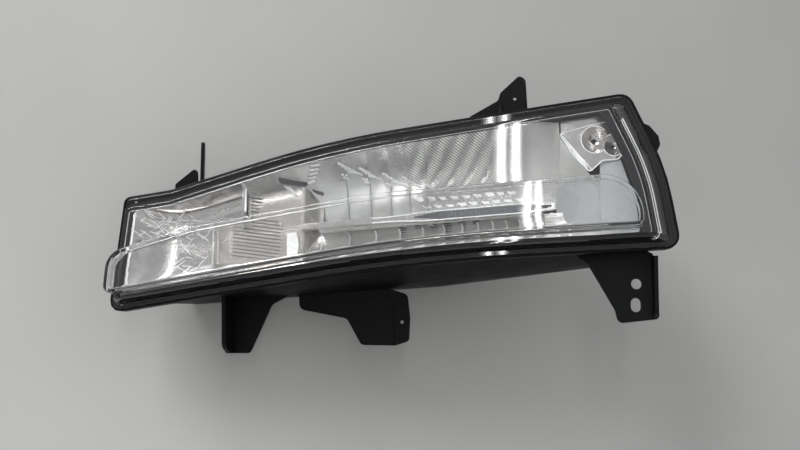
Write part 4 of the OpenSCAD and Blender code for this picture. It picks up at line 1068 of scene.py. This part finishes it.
# Corner plate with two bowls, each given as x, z and radius
PLATE = np.array([RIGHT_X, RIGHT_TOP]) + np.array([
    (-78, -26.5), (-58.5, -20.5), (-46.5, -18.1), (-38, -21.5), (-33.9, -37.1), (-38.9, -43.9),
    (-49.5, -44.5), (-58.5, -52.5), (-70, -39)])
PLATE_RADII = [1, 8, 5, 5, 5, 5, 5, 2, 8]
PLATE_T = 1.6
SURROUND_END = [(154.5, 59.5), (151.5, 47.5), (119.5, 47.5), (114.5, 52.5)]
BOWLS = [(130.2, 59.3, 9.0), (142.9, 55.6, 7.2)]
BOWL_HOLE, BOWL_WALL = 1.9, 1.1
LEAN, LEAN_X = 0.09, -0.019


def plate_outline(arc_count, edge_count):
    n = len(PLATE)
    return rounded(PLATE, PLATE_RADII, [arc_count] * n, [edge_count] * n)


def extruded(name, outline, y0, y1):
    outline = np.asarray(outline, float)
    n = len(outline)
    points = np.concatenate([np.stack([outline[:, 0], np.full(n, y), outline[:, 1]], 1) for y in (y0, y1)])
    return new_object(name, points, capped_faces(2, n))


def turned(name, x, z, profile, count=72):
    """A closed form turned about an axis along Y, from a profile of radius and depth."""
    angle = np.linspace(0, 2 * math.pi, count, endpoint=False)
    points = [(x + r * math.cos(a), y, z + r * math.sin(a)) for r, y in profile for a in angle]
    return new_object(name, points, capped_faces(len(profile), count))


def leaning(piece):
    """The corner plate leans back a little towards the outer end."""
    for vertex in piece.data.vertices:
        vertex.co.y += LEAN * (vertex.co.x - LEAN_X)
    return piece


def build_corner():
    """The plate with its surround, then both shells, then both hollows with their holes."""
    plate = extruded("corner_plate", plate_outline(8, 0), CORNER_Y, CORNER_Y + PLATE_T)
    left = CORNER_X + 0.9
    top_x = np.linspace(left, 151.5, 12)
    surround = [(left, CORNER_Z - 1)] + list(zip(top_x, opening_top(top_x) - 1.2)) + SURROUND_END
    boolean(plate, extruded("surround", surround, CORNER_Y + 1.5, CORNER_Y + 3.1), "UNION")
    for x, z, r in BOWLS:
        shell = [(r * t + BOWL_WALL, CORNER_Y + 0.4 + 7.6 * (1 - t * t)) for t in np.linspace(0.22, 1, 14)]
        boolean(plate, turned("shell", x, z, shell), "UNION")
    for x, z, r in BOWLS:
        hollow = [(r * t, CORNER_Y - 0.2 + 7.4 * (1 - t * t)) for t in np.linspace(0.2, 1, 18)]
        hole = [(BOWL_HOLE, CORNER_Y + 12), hollow[0]]
        boolean(plate, turned("hollow", x, z, hole + hollow), "DIFFERENCE")
    shade(plate.data, 35)
    return leaning(plate)


def bowl_rim(x, z, r, start, end):
    """A bowl's rim between two angles, so that it stops at the other bowl."""
    return [(x + (r + 0.3) * math.cos(a), z + (r + 0.3) * math.sin(a)) for a in np.linspace(start, end, 30)]


dress(build_corner(), "chrome_reflector", CHROME, "corner_reflector")
plate_line = plate_outline(6, 3)
RIDGES = [
    ((108.6, 61.6), (128.0, 38.0)), ((109.8, 58.4), (124.0, 41.0)), ((112.2, 56.6), (123.6, 42.4)),
    ((112.6, 52.4), (121.0, 42.0)), ((115.4, 51.0), (124.4, 39.6))]
rims = [bowl_rim(*BOWLS[0], 0.75, 5.3), bowl_rim(*BOWLS[1], -2.75, 2.3)]
# Painted highlights along the plate's edge, its ridges and the bowls' rims
CORNER_LINES = [
    beads("plate_edge", [np.concatenate([plate_line, plate_line[:1]])], flat_depth(CORNER_Y), 0.7, 0.5),
    beads("plate_ridges", [np.linspace(a, b, 8) for a, b in RIDGES], flat_depth(CORNER_Y + 0.3), 0.8, 1.2),
    beads("bowl_rims", rims, flat_depth(CORNER_Y), 0.7, 0.6)]
for corner_line in CORNER_LINES:
    dress(leaning(corner_line), "chrome_reflector", HIGHLIGHT_PAINT)


# Painted highlights where the lens's face turns into its outer wall: near-white beads inside the wall stand
# for the reflection in its rounded edge
def wall_line(extra):
    """The right-hand part of a line inside the wall, with a short hook at its foot."""
    line = flange_outline(WALL_IN + SLOPE + extra)
    keep = line[(line[:, 0] > 144) & (line[:, 1] > -7)]
    hook = np.array([[0.3, -1.4], [-1.4, -2.2], [-3.0, -1.4]])
    return np.concatenate([keep, keep[-1] + hook])


def wall_inside(extra):
    """Depth of the wall's inner face on that line."""
    part = 1 + extra / SLOPE[2]
    return lambda x, z: bow(x) + FLANGE_T + ROUND_DROP + part * (
        LENS_T + ROUND_DROP - FLANGE_T - FACE_H - (FACE_H_RIGHT - FACE_H) * along(x))


for name, extra, width in (("edge_line_out", -4.6, 0.9), ("edge_line_in", -2.6, 0.6)):
    dress(beads(name, [wall_line(extra)], wall_inside(extra), width, 0.5), "clear_lens", LENS_EDGE_HIGHLIGHT)


# Camera at the photograph's viewing angle
camera_data = bpy.data.cameras.new("camera")
camera_data.lens = 42.3
camera_data.sensor_width = 36
camera_data.clip_start = 0.01
camera = added("camera", camera_data)
camera.location = (-0.09168, -0.64401, -0.03756)
aim(camera, (-0.156, -0.032, 0.038))
bpy.context.scene.camera = camera

# Table behind the lamp, as in the photograph, and a floor under it, in metres
FLOOR_Z, REACH, TILT, TABLE_GAP = -0.135, 3.0, 0.24, 0.0015


def stage_plane(name, corners, material):
    mesh = bpy.data.meshes.new(name)
    mesh.from_pydata(corners, [], [(0, 1, 2, 3)])
    mesh.materials.append(material)
    plane = added(name, mesh)


def stage_material(name, colour, one_sided=False):
    """A matt surface with painted shade that darkens it to the right and upwards; a one-sided one can't be
    seen from behind.
    """
    s = Shader(name).set(Roughness=0.85)
    x, z = s.axes()
    # Painted shade: the colour falls off to the right and upwards; the noise is uneven tone
    dark = s.math("ADD", s.level(s.noise(3, 3), 0.35, 0.65), s.level(x, 0.0, 0.55, -0.4, 0.25))
    dark = s.math("ADD", dark, s.level(z, -0.6, 0.0, -0.3, 0.12))
    s.feed("Base Color", s.ramp(s.math("MULTIPLY", dark, 0.8), [
        (0.0, tone(colour, 1.3)), (1.0, tone(colour, 0.85))]))
    if one_sided:
        geometry = s.nodes.new("ShaderNodeNewGeometry")
        path = s.nodes.new("ShaderNodeLightPath")
        hidden = s.math("MAXIMUM", geometry.outputs["Backfacing"], path.outputs["Is Shadow Ray"])
        s.let_through(s.math("MAXIMUM", hidden, path.outputs["Is Diffuse Ray"]), (1, 1, 1, 1))
    return s.block


def table_y():
    """The table lies against the lamp's back and leaves it towards the outer end, as in the photograph."""
    furthest = []
    for piece in NODES.values():
        flat = np.empty(len(piece.data.vertices) * 3)
        piece.data.vertices.foreach_get("co", flat)
        turn = np.array(piece.matrix_world.to_3x3())
        spots = flat.reshape(-1, 3) @ turn.T + piece.matrix_world.translation
        furthest.append(np.max(spots[:, 1] - TILT * spots[:, 0]))
    return max(furthest) + TABLE_GAP


TABLE_Y = table_y()
LEFT_Y, RIGHT_Y = TABLE_Y - TILT * REACH, TABLE_Y + TILT * REACH
stage_plane("table", [
    (-REACH, LEFT_Y, FLOOR_Z), (REACH, RIGHT_Y, FLOOR_Z), (REACH, RIGHT_Y, REACH), (-REACH, LEFT_Y, REACH)],
    stage_material("table", (0.385, 0.382, 0.374), one_sided=True))
stage_plane("floor", [
    (-REACH, -REACH, FLOOR_Z), (REACH, -REACH, FLOOR_Z), (REACH, REACH, FLOOR_Z), (-REACH, REACH, FLOOR_Z)],
    stage_material("floor", (0.33, 0.33, 0.325)))


# Lights, in metres and watts
def area_light(name, place, target, size, power):
    light = bpy.data.lights.new(name, "AREA")
    light.shape = "RECTANGLE"
    light.size, light.size_y = size
    light.energy = power
    lamp = added(name, light)
    lamp.location = place
    aim(lamp, target)


CENTRE = (-0.156, 0.0, 0.03)
area_light("key", (-0.9, -1.4, 1.5), CENTRE, (1.0, 0.8), 32)
area_light("fill", (1.3, -1.1, 0.6), CENTRE, (1.2, 1.2), 3)
area_light("back", (-0.3, 1.6, 1.1), CENTRE, (1.4, 1.0), 48)

# Two lit tubes, each of nested strips of a width and a glow so that its edges fade
TUBES = (("left", 0.079), ("right", 0.118))
STRIPS = ((0.036, 1.6), (0.028, 2.6), (0.02, 5), (0.012, 9))
STRIP_STEP = 0.004
for side, x in TUBES:
    for k, (width, glow) in enumerate(STRIPS):
        place = (x, -1.5 + STRIP_STEP * k, 0.42)
        area_light(f"tube_{side}_{k}", place, (x, 0.0, 0.02), (width, 1.0), math.pi * width * glow)
area_light("tube_glow", (0.0985, -1.51, 0.42), (0.0985, 0.0, 0.02), (0.085, 1.0), 0.22)

# World: a grey that gets lighter upwards
sky = Shader("studio", bpy.data.worlds)
bpy.context.scene.world = sky.block
upwards = sky.level(sky.axes("Generated")[1], 0, 1, -1, 1)
sky_colour = sky.ramp(upwards, [(0.25, (0.3, 0.3, 0.31)), (0.85, (0.72, 0.73, 0.75))])
background = sky.nodes["Background"]
background.inputs["Strength"].default_value = 0.8
sky.links.new(sky_colour, background.inputs["Color"])

bpy.context.scene.view_settings.view_transform = "Standard"
